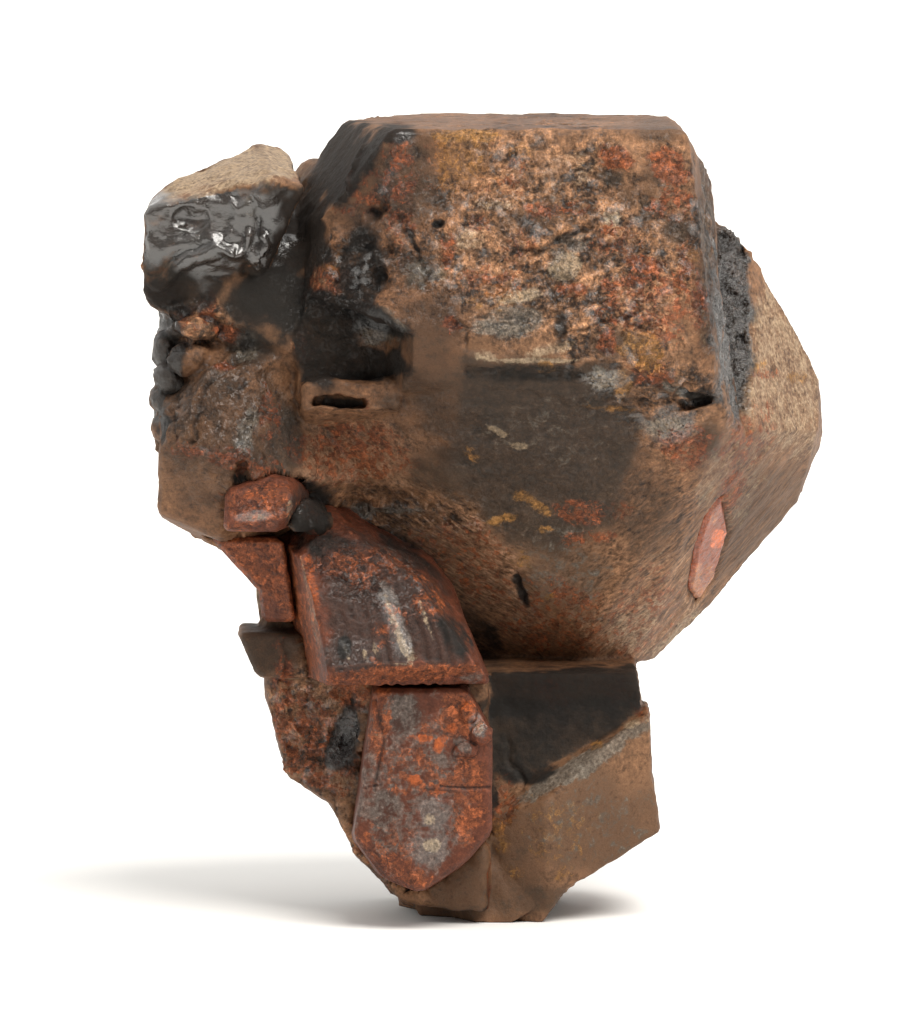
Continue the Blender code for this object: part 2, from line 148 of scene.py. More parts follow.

# Black painted shade with clear borders, on the lower crystal under the overhang and in the hollow:
# (strength, softness of the border in steps, corners in clockwise order).
BLACK_SHADE_FACES = [
    (1.0, 5, ((488, 674), (638, 662), (647, 706), (488, 716))),
    (0.62, 6, ((486, 704), (652, 698), (654, 706), (590, 744), (524, 786), (505, 786), (486, 760))),
    (1.0, 4, ((300, 312), (345, 316), (352, 376), (304, 382))),
]

# Dusky painted shade with clear borders, under the ridge of the large crystal and on the lower crystal under
# the overhang.
DUSK_SHADE_FACES = [
    (
        1.0, 22,
        ((462, 356), (600, 362), (640, 408), (644, 440), (616, 520), (560, 560), (500, 540), (444, 470)),
    ),
    (1.0, 6, ((486, 700), (652, 698), (654, 706), (590, 744), (524, 786), (505, 786), (486, 760))),
]

# The top of the glossy crystal, kept pale as a painted sheen, and the shaded seam beside the lower crystal,
# where raised edges are not lightened.
SHEEN_TOP = [
    (228, 168, 98, 45, 0, 1.0),
]

SHADED_SEAM = [
    (487, 875, 12, 50, 0, 1.0),
]

# Black on all its sides, painted as shade: the lip over the dark hollow, and the seam beside the glossy
# crystal.
BLACK_SHADE_ALL_ROUND = [
    (310, 172, 16, 20, 0, 1.0), (357, 314, 66, 13, 21, 1.0),
]

# Dusky patches: a dark slate tone on some faces, and painted shade under the ridge of the large crystal.
DUSK = [
    (275, 300, 42, 36, 0, 1.0), (525, 392, 90, 28, 0, 0.6), (645, 515, 40, 50, 0, 0.5),
    (710, 440, 16, 26, 0, 0.6), (440, 400, 60, 50, 0, 0.6), (430, 330, 40, 60, 0, 0.5),
    (560, 575, 56, 50, 0, 0.5), (470, 470, 60, 40, 0, 0.7), (285, 440, 24, 36, 0, 0.9),
    (250, 345, 30, 24, 0, 0.8), (360, 200, 30, 60, 0, 0.5), (655, 190, 26, 40, 0, 0.5),
    (655, 130, 30, 14, 0, 0.5), (612, 178, 18, 10, 0, 0.8), (628, 195, 16, 16, 0, 0.6),
    (675, 232, 18, 16, 30, 0.7), (540, 215, 60, 12, -10, 0.5), (420, 272, 22, 24, 0, 0.6),
    (620, 345, 30, 18, 0, 0.6), (660, 380, 40, 16, 25, 0.6), (430, 530, 70, 40, 30, 0.4),
    (450, 600, 80, 70, 35, 0.35), (500, 860, 40, 50, 0, 0.5), (545, 900, 40, 20, 0, 0.6),
    (310, 745, 55, 80, 0, 0.4), (425, 170, 14, 36, 0, 0.5), (410, 180, 40, 50, 0, 0.6),
    (220, 425, 80, 80, 0, 0.55), (270, 650, 42, 36, 0, 0.7), (590, 820, 90, 70, 0, 0.45),
    (480, 880, 80, 50, 0, 0.5), (708, 250, 14, 130, 0, 0.55), (765, 520, 60, 80, 30, 0.45),
    (310, 510, 30, 28, 0, 1.0),
]

UMBER = [
    (235, 410, 110, 90, 0, 0.55), (375, 250, 70, 120, 0, 0.62), (357, 312, 64, 16, 22, 0.95),
    (420, 330, 60, 70, 0, 0.6), (350, 400, 90, 60, 0, 0.55), (440, 420, 90, 60, 0, 0.5),
    (415, 190, 60, 70, 0, 0.4), (540, 430, 140, 80, 0, 0.4), (500, 865, 60, 70, 0, 0.3),
    (590, 850, 70, 70, 0, 0.3), (706, 250, 20, 140, 0, 0.7), (650, 505, 50, 50, 0, 0.3),
    (285, 235, 30, 40, 0, 0.8), (240, 515, 90, 40, 0, 0.45), (310, 510, 34, 30, 0, 0.35),
    (380, 500, 90, 30, 8, 0.2), (270, 655, 40, 36, 0, 0.6), (720, 500, 50, 80, 20, 0.35),
    (160, 290, 30, 40, 0, 0.7), (570, 700, 90, 50, 0, 0.6),
]

RUST = [
    (618, 160, 20, 14, 20, 1.0), (668, 168, 26, 18, 40, 0.9), (672, 203, 24, 20, 0, 0.6),
    (560, 208, 34, 10, 0, 0.6), (645, 265, 26, 10, 15, 0.9), (632, 281, 20, 6, 0, 0.9),
    (574, 290, 20, 8, 0, 0.95), (655, 300, 60, 40, 0, 0.5), (685, 270, 14, 30, 0, 0.6),
    (608, 342, 12, 16, 0, 0.7), (660, 330, 34, 26, 0, 0.45), (650, 365, 30, 22, 30, 0.6),
    (615, 240, 30, 20, 0, 0.4), (448, 250, 9, 20, 0, 0.8), (480, 222, 12, 12, 0, 0.6),
    (450, 325, 10, 10, 0, 0.7), (400, 190, 18, 70, 0, 0.5), (404, 222, 12, 18, 0, 0.6),
    (470, 165, 60, 34, 0, 0.3), (490, 280, 40, 20, 0, 0.4), (520, 250, 30, 20, 0, 0.35),
    (328, 280, 28, 26, 10, 0.65), (226, 331, 16, 9, 15, 1.0), (211, 308, 6, 18, 0, 0.9),
    (200, 318, 30, 18, 0, 0.4), (225, 365, 12, 5, 0, 0.9), (302, 345, 10, 20, 0, 0.5),
    (268, 415, 12, 30, 0, 0.4), (268, 500, 40, 22, 0, 0.9), (350, 450, 60, 36, 0, 0.55),
    (230, 460, 60, 14, 12, 0.5), (590, 512, 46, 14, 0, 0.55), (592, 538, 36, 8, -10, 0.6),
    (690, 446, 26, 22, 0, 0.6), (668, 440, 16, 16, 0, 0.5), (732, 490, 14, 30, 25, 0.6),
    (745, 440, 30, 40, 25, 0.4), (768, 374, 26, 5, -4, 0.5), (310, 740, 50, 60, 0, 0.65),
    (283, 700, 16, 60, 0, 0.7), (310, 506, 18, 14, 0, 0.5), (355, 190, 26, 40, 0, 0.35),
    (548, 686, 16, 7, 0, 0.8), (640, 706, 10, 12, 0, 0.6), (503, 800, 14, 30, 0, 0.55),
    (372, 865, 34, 20, 50, 0.6), (345, 695, 24, 16, 0, 0.8), (560, 700, 20, 10, 0, 0.35),
    (620, 690, 14, 14, 0, 0.4), (500, 825, 10, 20, 0, 0.5), (470, 560, 60, 40, 30, 0.4),
    (560, 620, 60, 40, 0, 0.4), (640, 620, 40, 60, 30, 0.35),
]

OCHRE = [
    (524, 497, 12, 5, 12, 1.0), (503, 519, 18, 6, -10, 1.0), (540, 506, 18, 5, 38, 1.0),
    (546, 367, 9, 8, 0, 0.9), (610, 408, 26, 4, 8, 0.6), (545, 530, 8, 4, 0, 0.8),
    (645, 352, 30, 20, 25, 0.6), (622, 385, 10, 16, 0, 0.7), (466, 136, 34, 8, 0, 0.75),
    (460, 165, 36, 32, 0, 0.45), (520, 150, 20, 8, 0, 0.4), (490, 300, 40, 20, 0, 0.25),
    (330, 262, 20, 14, 0, 0.4), (500, 838, 14, 20, 0, 0.5), (514, 872, 10, 10, 0, 0.6),
    (563, 875, 12, 6, -20, 0.7), (598, 745, 8, 5, 0, 0.6), (792, 378, 16, 6, 0, 0.6),
    (756, 368, 12, 3, -30, 0.7), (548, 598, 6, 5, 0, 0.7), (470, 455, 8, 10, 0, 0.5),
    (520, 560, 22, 14, 0, 0.35), (560, 830, 50, 40, 0, 0.25), (695, 256, 10, 10, 0, 0.5),
]

# Pale patches, painted sheen and highlights: the top of the glossy crystal, the right faces, and lumps,
# ridges and ledges that face the light.
PALE_SHEEN = [
    (232, 168, 95, 30, -12, 0.7), (500, 432, 16, 3, 35, 0.9), (520, 446, 12, 5, 0, 0.7),
    (635, 625, 44, 24, -45, 0.5), (785, 370, 65, 110, 0, 0.5), (735, 475, 40, 60, 25, 0.4),
    (660, 590, 50, 70, 30, 0.3), (705, 250, 10, 130, 0, 0.35), (690, 640, 80, 26, -38, 0.6),
    (565, 268, 18, 16, 0, 0.95), (518, 297, 26, 8, -10, 0.8), (545, 350, 30, 8, -10, 0.6),
    (470, 240, 20, 14, 0, 0.55), (570, 170, 34, 26, 0, 0.35), (485, 355, 16, 6, 0, 0.7),
    (522, 360, 60, 2.5, 0, 0.8), (612, 218, 12, 10, 0, 0.6), (490, 205, 26, 8, 0, 0.5),
    (440, 275, 8, 8, 0, 0.5), (605, 380, 20, 10, 0, 0.6), (665, 428, 24, 14, 0, 0.6),
    (650, 718, 6, 5, 0, 0.5), (632, 724, 10, 5, -20, 0.7), (250, 207, 9, 14, 0, 0.8),
    (640, 380, 30, 20, 0, 0.2),
]

# Grey patches: a grey tone on some faces, painted reflection on the front of the glossy crystal, and painted
# highlight on the ledge, the ridges and some lumps.
GREY_AND_SHEEN = [
    (505, 322, 42, 22, 0, 0.75), (560, 246, 34, 16, -28, 0.6), (380, 330, 24, 20, 0, 1.0),
    (584, 765, 78, 11, -31, 1.0), (248, 346, 14, 18, 0, 0.7), (247, 428, 12, 28, 15, 0.8),
    (605, 378, 24, 12, 0, 0.65), (668, 425, 26, 16, 0, 0.65), (680, 390, 26, 8, 25, 0.6),
    (555, 430, 70, 50, 0, 0.25), (560, 575, 60, 60, 0, 0.35), (590, 820, 70, 50, 0, 0.3),
    (375, 508, 60, 5, 3, 0.8), (425, 200, 20, 60, 0, 0.25), (190, 262, 60, 22, -20, 0.6),
    (185, 238, 30, 12, 0, 0.6), (420, 275, 20, 20, 0, 0.6), (550, 190, 20, 20, 0, 0.4),
    (612, 215, 14, 10, 0, 0.6),
]

GLOSS = [
    (205, 222, 88, 62, 0, 1.0), (165, 350, 28, 55, 0, 0.48), (158, 410, 14, 35, 0, 0.45),
    (185, 292, 50, 20, 0, 0.25), (330, 150, 30, 30, -40, 0.2), (375, 330, 25, 22, 0, 0.5),
    (733, 310, 22, 120, 0, 0.8), (575, 700, 90, 36, 0, 0.25), (405, 138, 16, 8, 0, 0.6),
    (605, 380, 25, 12, 0, 0.8), (670, 425, 30, 20, 0, 0.8), (345, 735, 16, 32, 10, 0.7),
    (380, 508, 60, 7, 3, 0.6),
]

# Where an ashen bloom lies on the brown.
ASHEN = [
    (515, 575, 80, 60, 0, 0.8), (455, 575, 70, 70, 30, 0.7), (630, 625, 60, 40, -30, 0.4),
    (350, 450, 80, 40, 0, 0.55), (510, 830, 40, 50, 0, 0.6), (590, 840, 80, 70, 0, 0.2),
    (400, 455, 40, 40, 0, 0.35), (310, 740, 50, 70, 0, 0.15),
]

SPARKLE = [
    (733, 310, 22, 120, 0, 1.0), (605, 380, 22, 12, 0, 1.0), (670, 425, 28, 18, 0, 1.0),
    (560, 245, 170, 110, 0, 0.5), (425, 278, 18, 18, 0, 0.9), (500, 200, 34, 14, 0, 0.8),
    (247, 425, 14, 34, 15, 0.9), (230, 400, 60, 60, 0, 0.4), (400, 515, 110, 30, 5, 0.5),
    (450, 600, 90, 70, 0, 0.3), (365, 265, 26, 50, 0, 0.2), (315, 730, 60, 70, 0, 0.35),
]

# Sculpted mounds and dents: (right, down, half-width, half-height, turn, height in millimetres).
MOUNDS = [
    (268, 190, 20, 14, -30, 0.5), (249, 210, 10, 14, 0, 0.22), (233, 252, 7, 8, 0, 0.22),
    (232, 235, 7, 6, 0, 0.15), (195, 212, 9, 12, 30, 0.16), (215, 238, 14, 6, 0, 0.12),
    (165, 245, 16, 14, 0, 0.1), (190, 303, 9, 5, 0, 0.14), (174, 305, 6, 5, 0, 0.12),
    (187, 218, 22, 13, 0, -0.1), (190, 244, 26, 9, -12, 0.14), (565, 268, 16, 12, -10, 0.2),
    (518, 297, 24, 7, -10, 0.2), (620, 160, 18, 12, 10, 0.16), (645, 268, 18, 8, 15, 0.16),
    (574, 290, 18, 7, 0, 0.14), (505, 325, 40, 18, 0, -0.1), (620, 190, 26, 18, 0, -0.16),
    (565, 238, 34, 12, -28, -0.18), (640, 240, 34, 14, 10, -0.12), (660, 345, 26, 16, 15, 0.2),
    (606, 342, 10, 14, 0, 0.14), (470, 240, 16, 12, 0, 0.1), (438, 223, 7, 5, 0, -0.25),
    (605, 375, 20, 8, 0, 0.15), (670, 425, 22, 14, 0, 0.14), (560, 325, 8, 20, 0, -0.15),
    (343, 735, 15, 28, 10, -0.3), (240, 483, 10, 9, 0, -0.3), (255, 347, 9, 14, 0, 0.12),
    (365, 245, 10, 12, 20, -0.3), (352, 285, 9, 10, 0, -0.25), (380, 275, 8, 10, 0, -0.25),
    (335, 235, 10, 12, 0, 0.15), (372, 215, 8, 10, 0, -0.15),
]

# Sculpted crests and cracks: (height in millimetres, half-width in steps, the points that the line joins).
CRESTS = [
    (0.34, 9, ((158, 284), (175, 270), (195, 256), (222, 248), (240, 252))),
    (0.26, 6, ((264, 238), (262, 250), (257, 264))), (0.14, 5, ((232, 196), (237, 214), (231, 232))),
    (-0.18, 5, ((240, 236), (250, 262), (244, 275))), (-0.14, 5, ((255, 200), (258, 225), (252, 250))),
    (0.12, 3, ((366, 146), (355, 168), (340, 200), (322, 222))),
    (0.1, 4, ((310, 292), (300, 312), (288, 334))),
    (0.12, 4, ((240, 352), (216, 366), (200, 395), (186, 440))),
    (-0.14, 4, ((232, 366), (206, 388), (196, 420), (192, 446))),
    (0.1, 4, ((176, 385), (166, 410), (168, 440))), (-0.12, 4, ((183, 380), (174, 410), (178, 442))),
    (0.1, 4, ((258, 402), (252, 425), (238, 458))),
    (0.12, 5, ((182, 446), (215, 458), (250, 470), (290, 472))),
    (0.12, 5, ((330, 512), (380, 506), (430, 510))),
    (0.09, 5, ((469, 358), (520, 361), (582, 362), (622, 360))),
    (-0.12, 6, ((470, 370), (520, 374), (580, 376))), (0.07, 4, ((490, 386), (540, 392), (590, 398))),
    (0.08, 4, ((582, 406), (612, 402), (645, 408))), (0.12, 6, ((640, 372), (665, 376), (695, 388))),
    (-0.14, 5, ((640, 402), (670, 404), (706, 400))), (-0.2, 4, ((512, 574), (521, 588), (525, 600))),
    (-0.12, 4, ((401, 219), (410, 240), (420, 258))), (0.12, 5, ((530, 262), (556, 250), (590, 232))),
    (-0.14, 5, ((528, 252), (560, 238), (596, 222))),
    (0.1, 5, ((600, 328), (640, 318), (680, 330), (690, 350))),
    (-0.1, 4, ((560, 336), (600, 322), (640, 312))), (-0.1, 4, ((452, 322), (468, 326), (464, 350))),
    (0.08, 4, ((520, 792), (560, 775), (645, 722))), (-0.1, 4, ((506, 742), (520, 775), (522, 792))),
    (0.06, 3, ((420, 424), (440, 436), (452, 446))), (0.1, 4, ((284, 640), (282, 690), (300, 740))),
    (-0.12, 4, ((352, 700), (362, 760), (352, 830))),
]


# The same kinds of table for the zircons and the sliver.

ZIRCON_RUST = [
    (255, 560, 50, 34, 30, 1.0), (290, 600, 12, 60, -8, 0.9), (306, 620, 14, 70, -8, 0.7),
    (400, 674, 90, 9, -4, 1.0), (262, 505, 40, 20, 0, 0.7), (470, 800, 20, 50, 0, 0.7),
    (440, 785, 40, 12, 0, 0.6), (380, 720, 12, 50, 0, 0.6), (405, 870, 60, 12, 34, 0.6),
    (465, 715, 24, 26, 0, 0.9), (335, 700, 30, 30, 0, 0.7), (410, 770, 30, 26, 40, 0.5),
    (400, 840, 20, 30, 0, 0.4), (400, 570, 50, 12, 30, 0.4), (350, 565, 40, 20, 20, 0.5),
    (430, 605, 20, 16, 0, 0.5),
]

ZIRCON_BLACK = [
    (330, 545, 40, 18, 0, 0.6), (300, 512, 14, 20, 0, 0.5), (410, 555, 50, 10, 35, 0.6),
    (345, 648, 8, 12, 0, 0.8), (455, 640, 14, 30, -30, 0.6), (284, 632, 14, 10, 0, 0.6),
    (440, 790, 30, 2.5, 4, 0.6),
]

ZIRCON_DUSK = [
    (385, 600, 75, 60, 25, 1.0), (370, 650, 60, 26, -6, 1.0), (345, 555, 50, 30, 0, 0.7),
    (300, 512, 18, 26, 0, 1.0), (250, 600, 40, 60, 0, 0.2), (440, 640, 30, 40, -30, 0.8),
    (400, 715, 30, 22, 0, 0.8), (290, 645, 22, 26, 0, 0.8), (385, 815, 16, 30, 0, 0.7),
    (430, 765, 50, 20, 0, 0.4), (385, 845, 20, 20, 0, 0.5),
]

# Grey on the zircons: a grey tone on the tablet, and painted sheen on glossy grains and along the prism's
# highlight streak.
ZIRCON_GREY_AND_SHEEN = [
    (410, 790, 70, 100, 0, 0.55), (400, 708, 24, 14, 0, 0.7), (435, 815, 18, 20, 0, 0.95),
    (430, 850, 26, 16, 0, 0.9), (440, 755, 20, 10, 0, 0.5), (478, 725, 10, 14, 0, 0.95),
    (462, 744, 12, 7, 35, 0.95), (396, 620, 10, 44, -20, 0.9), (395, 560, 30, 14, 20, 0.4),
    (470, 680, 14, 10, 0, 0.5),
]

# Pale marks on the zircons, painted highlights: streaks on the prism's ribs, the knob's highlight, and glints
# on the tablet's grains.
ZIRCON_PALE_HIGHLIGHTS = [
    (396, 628, 5, 36, -20, 0.62), (410, 655, 7, 9, -20, 0.6), (424, 615, 3, 30, -20, 0.5),
    (347, 653, 3, 12, -20, 0.55), (365, 655, 3, 10, -20, 0.5), (376, 650, 3, 10, -20, 0.5),
    (432, 845, 10, 8, 0, 0.8), (430, 820, 8, 8, 0, 0.6), (478, 728, 6, 9, 0, 0.8),
    (255, 517, 12, 3, -5, 0.9), (290, 512, 4, 16, 0, 0.5), (310, 600, 3, 60, -12, 0.5),
    (405, 665, 14, 2.5, 4, 0.5), (380, 735, 6, 4, 0, 0.6),
]

ZIRCON_ORANGE = [
    (415, 780, 7, 6, 0, 1.0), (442, 790, 8, 5, 0, 0.8), (452, 728, 5, 5, 0, 1.0), (468, 705, 8, 6, 0, 0.8),
    (440, 745, 6, 10, 30, 0.7), (312, 580, 5, 40, -12, 0.5), (255, 500, 24, 8, 0, 0.4),
    (418, 738, 14, 4, 0, 0.5), (390, 610, 12, 8, 0, 0.4),
]

ZIRCON_GLOSS = [
    (395, 625, 12, 45, -20, 0.7), (355, 650, 34, 20, 0, 0.4), (435, 815, 22, 24, 0, 0.5),
    (430, 850, 26, 22, 0, 0.5), (254, 516, 22, 6, -5, 0.8), (478, 725, 10, 14, 0, 0.8),
    (370, 560, 60, 30, 20, 0.3),
]

ZIRCON_SPARKLE = [
    (345, 650, 30, 20, 0, 0.4), (395, 625, 12, 45, -20, 0.4), (430, 840, 26, 30, 0, 0.4),
    (262, 512, 34, 14, 0, 0.3), (380, 580, 70, 40, 20, 0.4),
]

ZIRCON_COARSE = [
    (360, 560, 70, 40, 20, 1.0), (400, 600, 60, 40, 20, 0.6), (400, 676, 90, 10, 0, 0.8),
    (330, 700, 30, 30, 0, 0.9), (470, 720, 24, 40, 0, 0.8), (380, 870, 60, 20, 40, 0.6),
    (262, 505, 44, 26, 0, 0.7),
]

ZIRCON_MOUNDS = [
    (396, 628, 9, 40, -20, 0.12), (424, 620, 5, 34, -20, 0.07), (347, 653, 4, 14, -20, 0.08),
    (365, 655, 4, 12, -20, 0.07), (376, 650, 4, 12, -20, 0.07), (345, 640, 6, 8, 0, -0.1),
    (350, 565, 26, 16, 10, 0.14), (330, 550, 18, 12, 0, 0.12), (385, 578, 22, 12, 20, 0.1),
    (435, 815, 18, 18, 0, 0.05), (255, 512, 18, 8, 0, 0.08),
]

ZIRCON_CRESTS = [
    (-0.08, 3, ((440, 786), (465, 788), (492, 787))), (0.05, 4, ((378, 738), (390, 733), (405, 760))),
    (-0.08, 4, ((375, 700), (384, 740), (374, 790))),
    (0.06, 4, ((432, 800), (450, 802), (450, 830), (436, 850))), (-0.06, 3, ((365, 788), (380, 785))),
    (0.08, 4, ((325, 560), (345, 572), (372, 566))), (-0.1, 4, ((332, 575), (356, 585), (380, 590))),
    (0.07, 3, ((330, 668), (370, 664), (440, 662))),
]

SLIVER_RUST = [
    (722, 505, 14, 26, 0, 0.8), (708, 560, 6, 40, 10, 0.6),
]

SLIVER_ORANGE = [
    (720, 536, 9, 8, 0, 1.0), (716, 545, 8, 4, -30, 0.8),
]

SLIVER_PALE = [
    (704, 588, 14, 26, 10, 0.9), (715, 515, 5, 16, 0, 0.6),
]


def front_steps(places):
    """Where places stand in the front view, in steps right and down from its top left corner."""
    back = np.array(toward_eye())
    rise = math.radians(EYE_RISE)
    up = np.array((0.0, math.sin(rise), math.cos(rise)))
    eye = np.array(AIM) + back * EYE_DISTANCE
    seen = places - eye
    reach = EYE_DISTANCE / -(seen @ back) / STEP
    return FRAME_WIDE / 2 + seen[:, 0] * reach, FRAME_HIGH / 2 - (seen @ up) * reach


def smooth(low, high, value):
    """0 below low, 1 above high, and a soft ramp between."""
    part = np.clip((value - low) / (high - low), 0.0, 1.0)
    return part * part * (3.0 - 2.0 * part)


def patches(view, ragged, table):
    """How strongly each place lies in one of the patches, with ragged rims."""
    right, down = view
    total = np.zeros(len(right))
    for at_right, at_down, wide, high, turn, strength in table:
        angle = math.radians(turn)
        over, under = right - at_right, down - at_down
        along = (over * math.cos(angle) + under * math.sin(angle)) / wide
        across = (under * math.cos(angle) - over * math.sin(angle)) / high
        near = 1.0 - smooth(0.55, 1.25, np.hypot(along, across) + ragged)
        total = np.maximum(total, near * strength)
    return total


def faces(view, ragged, table):
    """How strongly each place lies in one of the many-sided patches."""
    spot = np.stack(view, 1)
    total = np.zeros(len(spot))
    for strength, soft, corners in table:
        inside = np.full(len(spot), 1e9)
        for start, end in zip(corners, corners[1:] + corners[:1]):
            run = np.subtract(end, start) / math.dist(start, end)
            away = spot - start
            inside = np.minimum(inside, run[0] * away[:, 1] - run[1] * away[:, 0])
        total = np.maximum(total, strength * smooth(-soft, soft, inside + ragged))
    return total


def mounds(view, table):
    """The height of the sculpted mounds and dents at each place."""
    right, down = view
    total = np.zeros(len(right))
    for at_right, at_down, wide, high, turn, height in table:
        angle = math.radians(turn)
        over, under = right - at_right, down - at_down
        along = (over * math.cos(angle) + under * math.sin(angle)) / wide
        across = (under * math.cos(angle) - over * math.sin(angle)) / high
        total += height * np.clip(1.0 - (along**2 + across**2) / 1.7, 0.0, 1.0) ** 2
    return total


def crests(view, ragged, table):
    """The height of the sculpted crests and cracks at each place."""
    spot = np.stack(view, 1) + ragged
    total = np.zeros(len(spot))
    for height, half, joints in table:
        reach = np.full(len(spot), 1e9)
        for start, end in zip(joints, joints[1:]):
            start, run = np.array(start, float), np.subtract(end, start)
            part = np.clip((spot - start) @ run / (run @ run), 0.0, 1.0)
            reach = np.minimum(reach, np.hypot(*(spot - start - part[:, None] * run).T))
        total += height * (1.0 - smooth(0.0, 1.0, reach / half))
    return total


def rolling(places, size, octaves=4, seed=0.0, stretch=(1.0, 1.0, 1.0)):
    """Soft fractal noise, about -1 to 1, whose largest swells are about this size."""
    scaled = (places / (np.array(stretch) * size) + seed * 7.31).tolist()
    return np.array([noise.fractal(p, 0.9, 2.1, octaves) for p in scaled])


def crested(places, size, octaves=4, seed=0.0, stretch=(1.0, 1.0, 1.0)):
    """Noise with sharp crests, about 0 to 1."""
    scaled = (places / (np.array(stretch) * size) + seed * 5.17).tolist()
    return np.array([noise.ridged_multi_fractal(p, 0.9, 2.1, octaves, 0.9, 1.6) for p in scaled]) * 0.5


def cells(places, size, seed=0.0, stretch=(1.0, 1.0, 1.0)):
    """The distance to the nearest grain centre, in grain sizes, and a steady random number for each grain."""
    scaled = (places / (np.array(stretch) * size) + seed * 3.77).tolist()
    found = [noise.voronoi(p) for p in scaled]
    near = np.array([distances[0] for distances, _ in found])
    lot = np.array([noise.cell(points[0] * 31.7) for _, points in found])
    return near, lot


def drift(places, size, seed=0.0):
    """A soft wandering of places, each part about -1 to 1."""
    noise.seed_set(DRIFT_SEED)
    scaled = (places / size + seed * 9.13).tolist()
    return np.array(
        [noise.turbulence_vector(p, 3, False, amplitude_scale=0.5, frequency_scale=2.1) for p in scaled]
    )


def drop_crumbs(mesh):
    """Removes the crumbs that lie loose beside the largest shell of a mesh."""
    shape = bmesh.new()
    shape.from_mesh(mesh)
    left = set(shape.verts)
    shells = []
    while left:
        shell = [left.pop()]
        for vert in shell:
            for edge in vert.link_edges:
                other = edge.other_vert(vert)
                if other in left:
                    left.remove(other)
                    shell.append(other)
        shells.append(shell)
    crumbs = [vert for shell in sorted(shells, key=len)[:-1] for vert in shell]
    if crumbs:
        bmesh.ops.delete(shape, geom=crumbs, context="VERTS")
        shape.to_mesh(mesh)
    shape.free()


class Surface:
    """A fine copy of a CAD node: its places in millimetres, its normals, its faces and its neighbours."""

    def __init__(self, node, cell):
        self.node = node
        shape = bmesh.new()
        shape.from_mesh(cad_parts[node].data)
        bmesh.ops.remove_doubles(shape, verts=shape.verts[:], dist=1e-7)
        tree = BVHTree.FromBMesh(shape)
        mesh = bpy.data.meshes.new(node + "_blank")
        shape.to_mesh(mesh)
        shape.free()
        blank = bpy.data.objects.new(node + "_blank", mesh)
        bpy.context.scene.collection.objects.link(blank)
        step = blank.modifiers.new("fine", "REMESH")
        step.mode = "VOXEL"
        step.voxel_size = cell * MM
        self.mesh = bpy.data.meshes.new_from_object(
            blank.evaluated_get(bpy.context.evaluated_depsgraph_get())
        )
        bpy.data.objects.remove(blank)
        self.mesh.name = node + "_fine"
        count = len(self.mesh.vertices)
        places = np.empty(count * 3)
        self.mesh.vertices.foreach_get("co", places)
        hits = [tree.find_nearest(p) for p in places.reshape(-1, 3).tolist()]
        self.places = np.array([hit[0] for hit in hits]) / MM
        self.facet = np.array([hit[1] for hit in hits])
        edges = np.empty(len(self.mesh.edges) * 2, dtype=np.int64)
        self.mesh.edges.foreach_get("vertices", edges)
        self.edges = edges.reshape(-1, 2)
        self.ends = np.bincount(edges, minlength=count).astype(float)
        self.set_places()

    def set_places(self):
        self.mesh.vertices.foreach_set("co", (self.places * MM).ravel())
        self.mesh.update()
        normals = np.empty(len(self.places) * 3)
        self.mesh.vertices.foreach_get("normal", normals)
        self.normals = normals.reshape(-1, 3)

    def eased(self, values, times):
        """Values averaged over their neighbours, again and again."""
        first, second = self.edges[:, 0], self.edges[:, 1]
        flat = values.reshape(len(values), -1)
        for _ in range(times):
            columns = []
            for column in flat.T:
                total = np.bincount(first, column[second], len(column))
                total = total + np.bincount(second, column[first], len(column))
                columns.append(total / self.ends)
            flat = (flat + np.stack(columns, 1)) / 2
        return flat.reshape(values.shape)

    def bulge(self, times):
        """How far a place stands out of its surroundings, in millimetres. Less than 0 is a hollow."""
        return ((self.places - self.eased(self.places, times)) * self.normals).sum(1)

    def move(self, out):
        self.places = self.places + self.normals * out[:, None]
        self.set_places()

    def shift(self, steps):
        self.places = self.places + steps
        self.set_places()

    def close_on(self, nodes, reach, press):
        """Draws the places that face other nodes and stand within reach onto them, and a little further."""
        shape = bmesh.new()
        for node in nodes:
            shape.from_mesh(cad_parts[node].data)
        tree = BVHTree.FromBMesh(shape)
        shape.free()
        steps = np.zeros_like(self.places)
        for index, place in enumerate((self.places * MM).tolist()):
            found = tree.find_nearest(place, reach * 2.0 * MM)
            if found[0] is None:
                continue
            way_there = np.array(found[0] - Vector(place)) / MM
            gap = np.linalg.norm(way_there)
            outside = (Vector(place) - found[0]).dot(found[1]) > 0
            if not outside or gap < 1e-6:
                continue
            lean = way_there @ self.normals[index] / gap
            pull = smooth(-0.25, 0.25, lean) * (1.0 - smooth(reach, reach * 1.8, gap))
            steps[index] = way_there / gap * (gap + press) * pull
        self.shift(steps)

    def attribute(self, name, *columns):
        """Keeps up to four masks with the mesh, as one colour attribute."""
        packed = np.ones((len(self.places), 4))
        for index, column in enumerate(columns):
            packed[:, index] = np.clip(column, 0.0, 1.0)
        made = self.mesh.attributes.new(name, "FLOAT_COLOR", "POINT")
        made.data.foreach_set("color", packed.ravel())

    def finish(self, name, budget, look, slot):
        """The finished piece, thinned to its budget of triangles, in place of its node."""
        piece = bpy.data.objects.new(name, self.mesh)
        bpy.context.scene.collection.objects.link(piece)
        triangles = sum(len(face.vertices) - 2 for face in self.mesh.polygons)
        if triangles > budget:
            step = piece.modifiers.new("thin", "DECIMATE")
            step.ratio = budget / triangles
            thin = bpy.data.meshes.new_from_object(
                piece.evaluated_get(bpy.context.evaluated_depsgraph_get())
            )
            piece.modifiers.clear()
            piece.data = thin
        drop_crumbs(piece.data)
        piece.data.name = name
        piece.data.polygons.foreach_set("use_smooth", [True] * len(piece.data.polygons))
        piece.data.materials.clear()
        piece.data.materials.append(look)
        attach(piece, "root")
        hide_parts(self.node)
        return piece


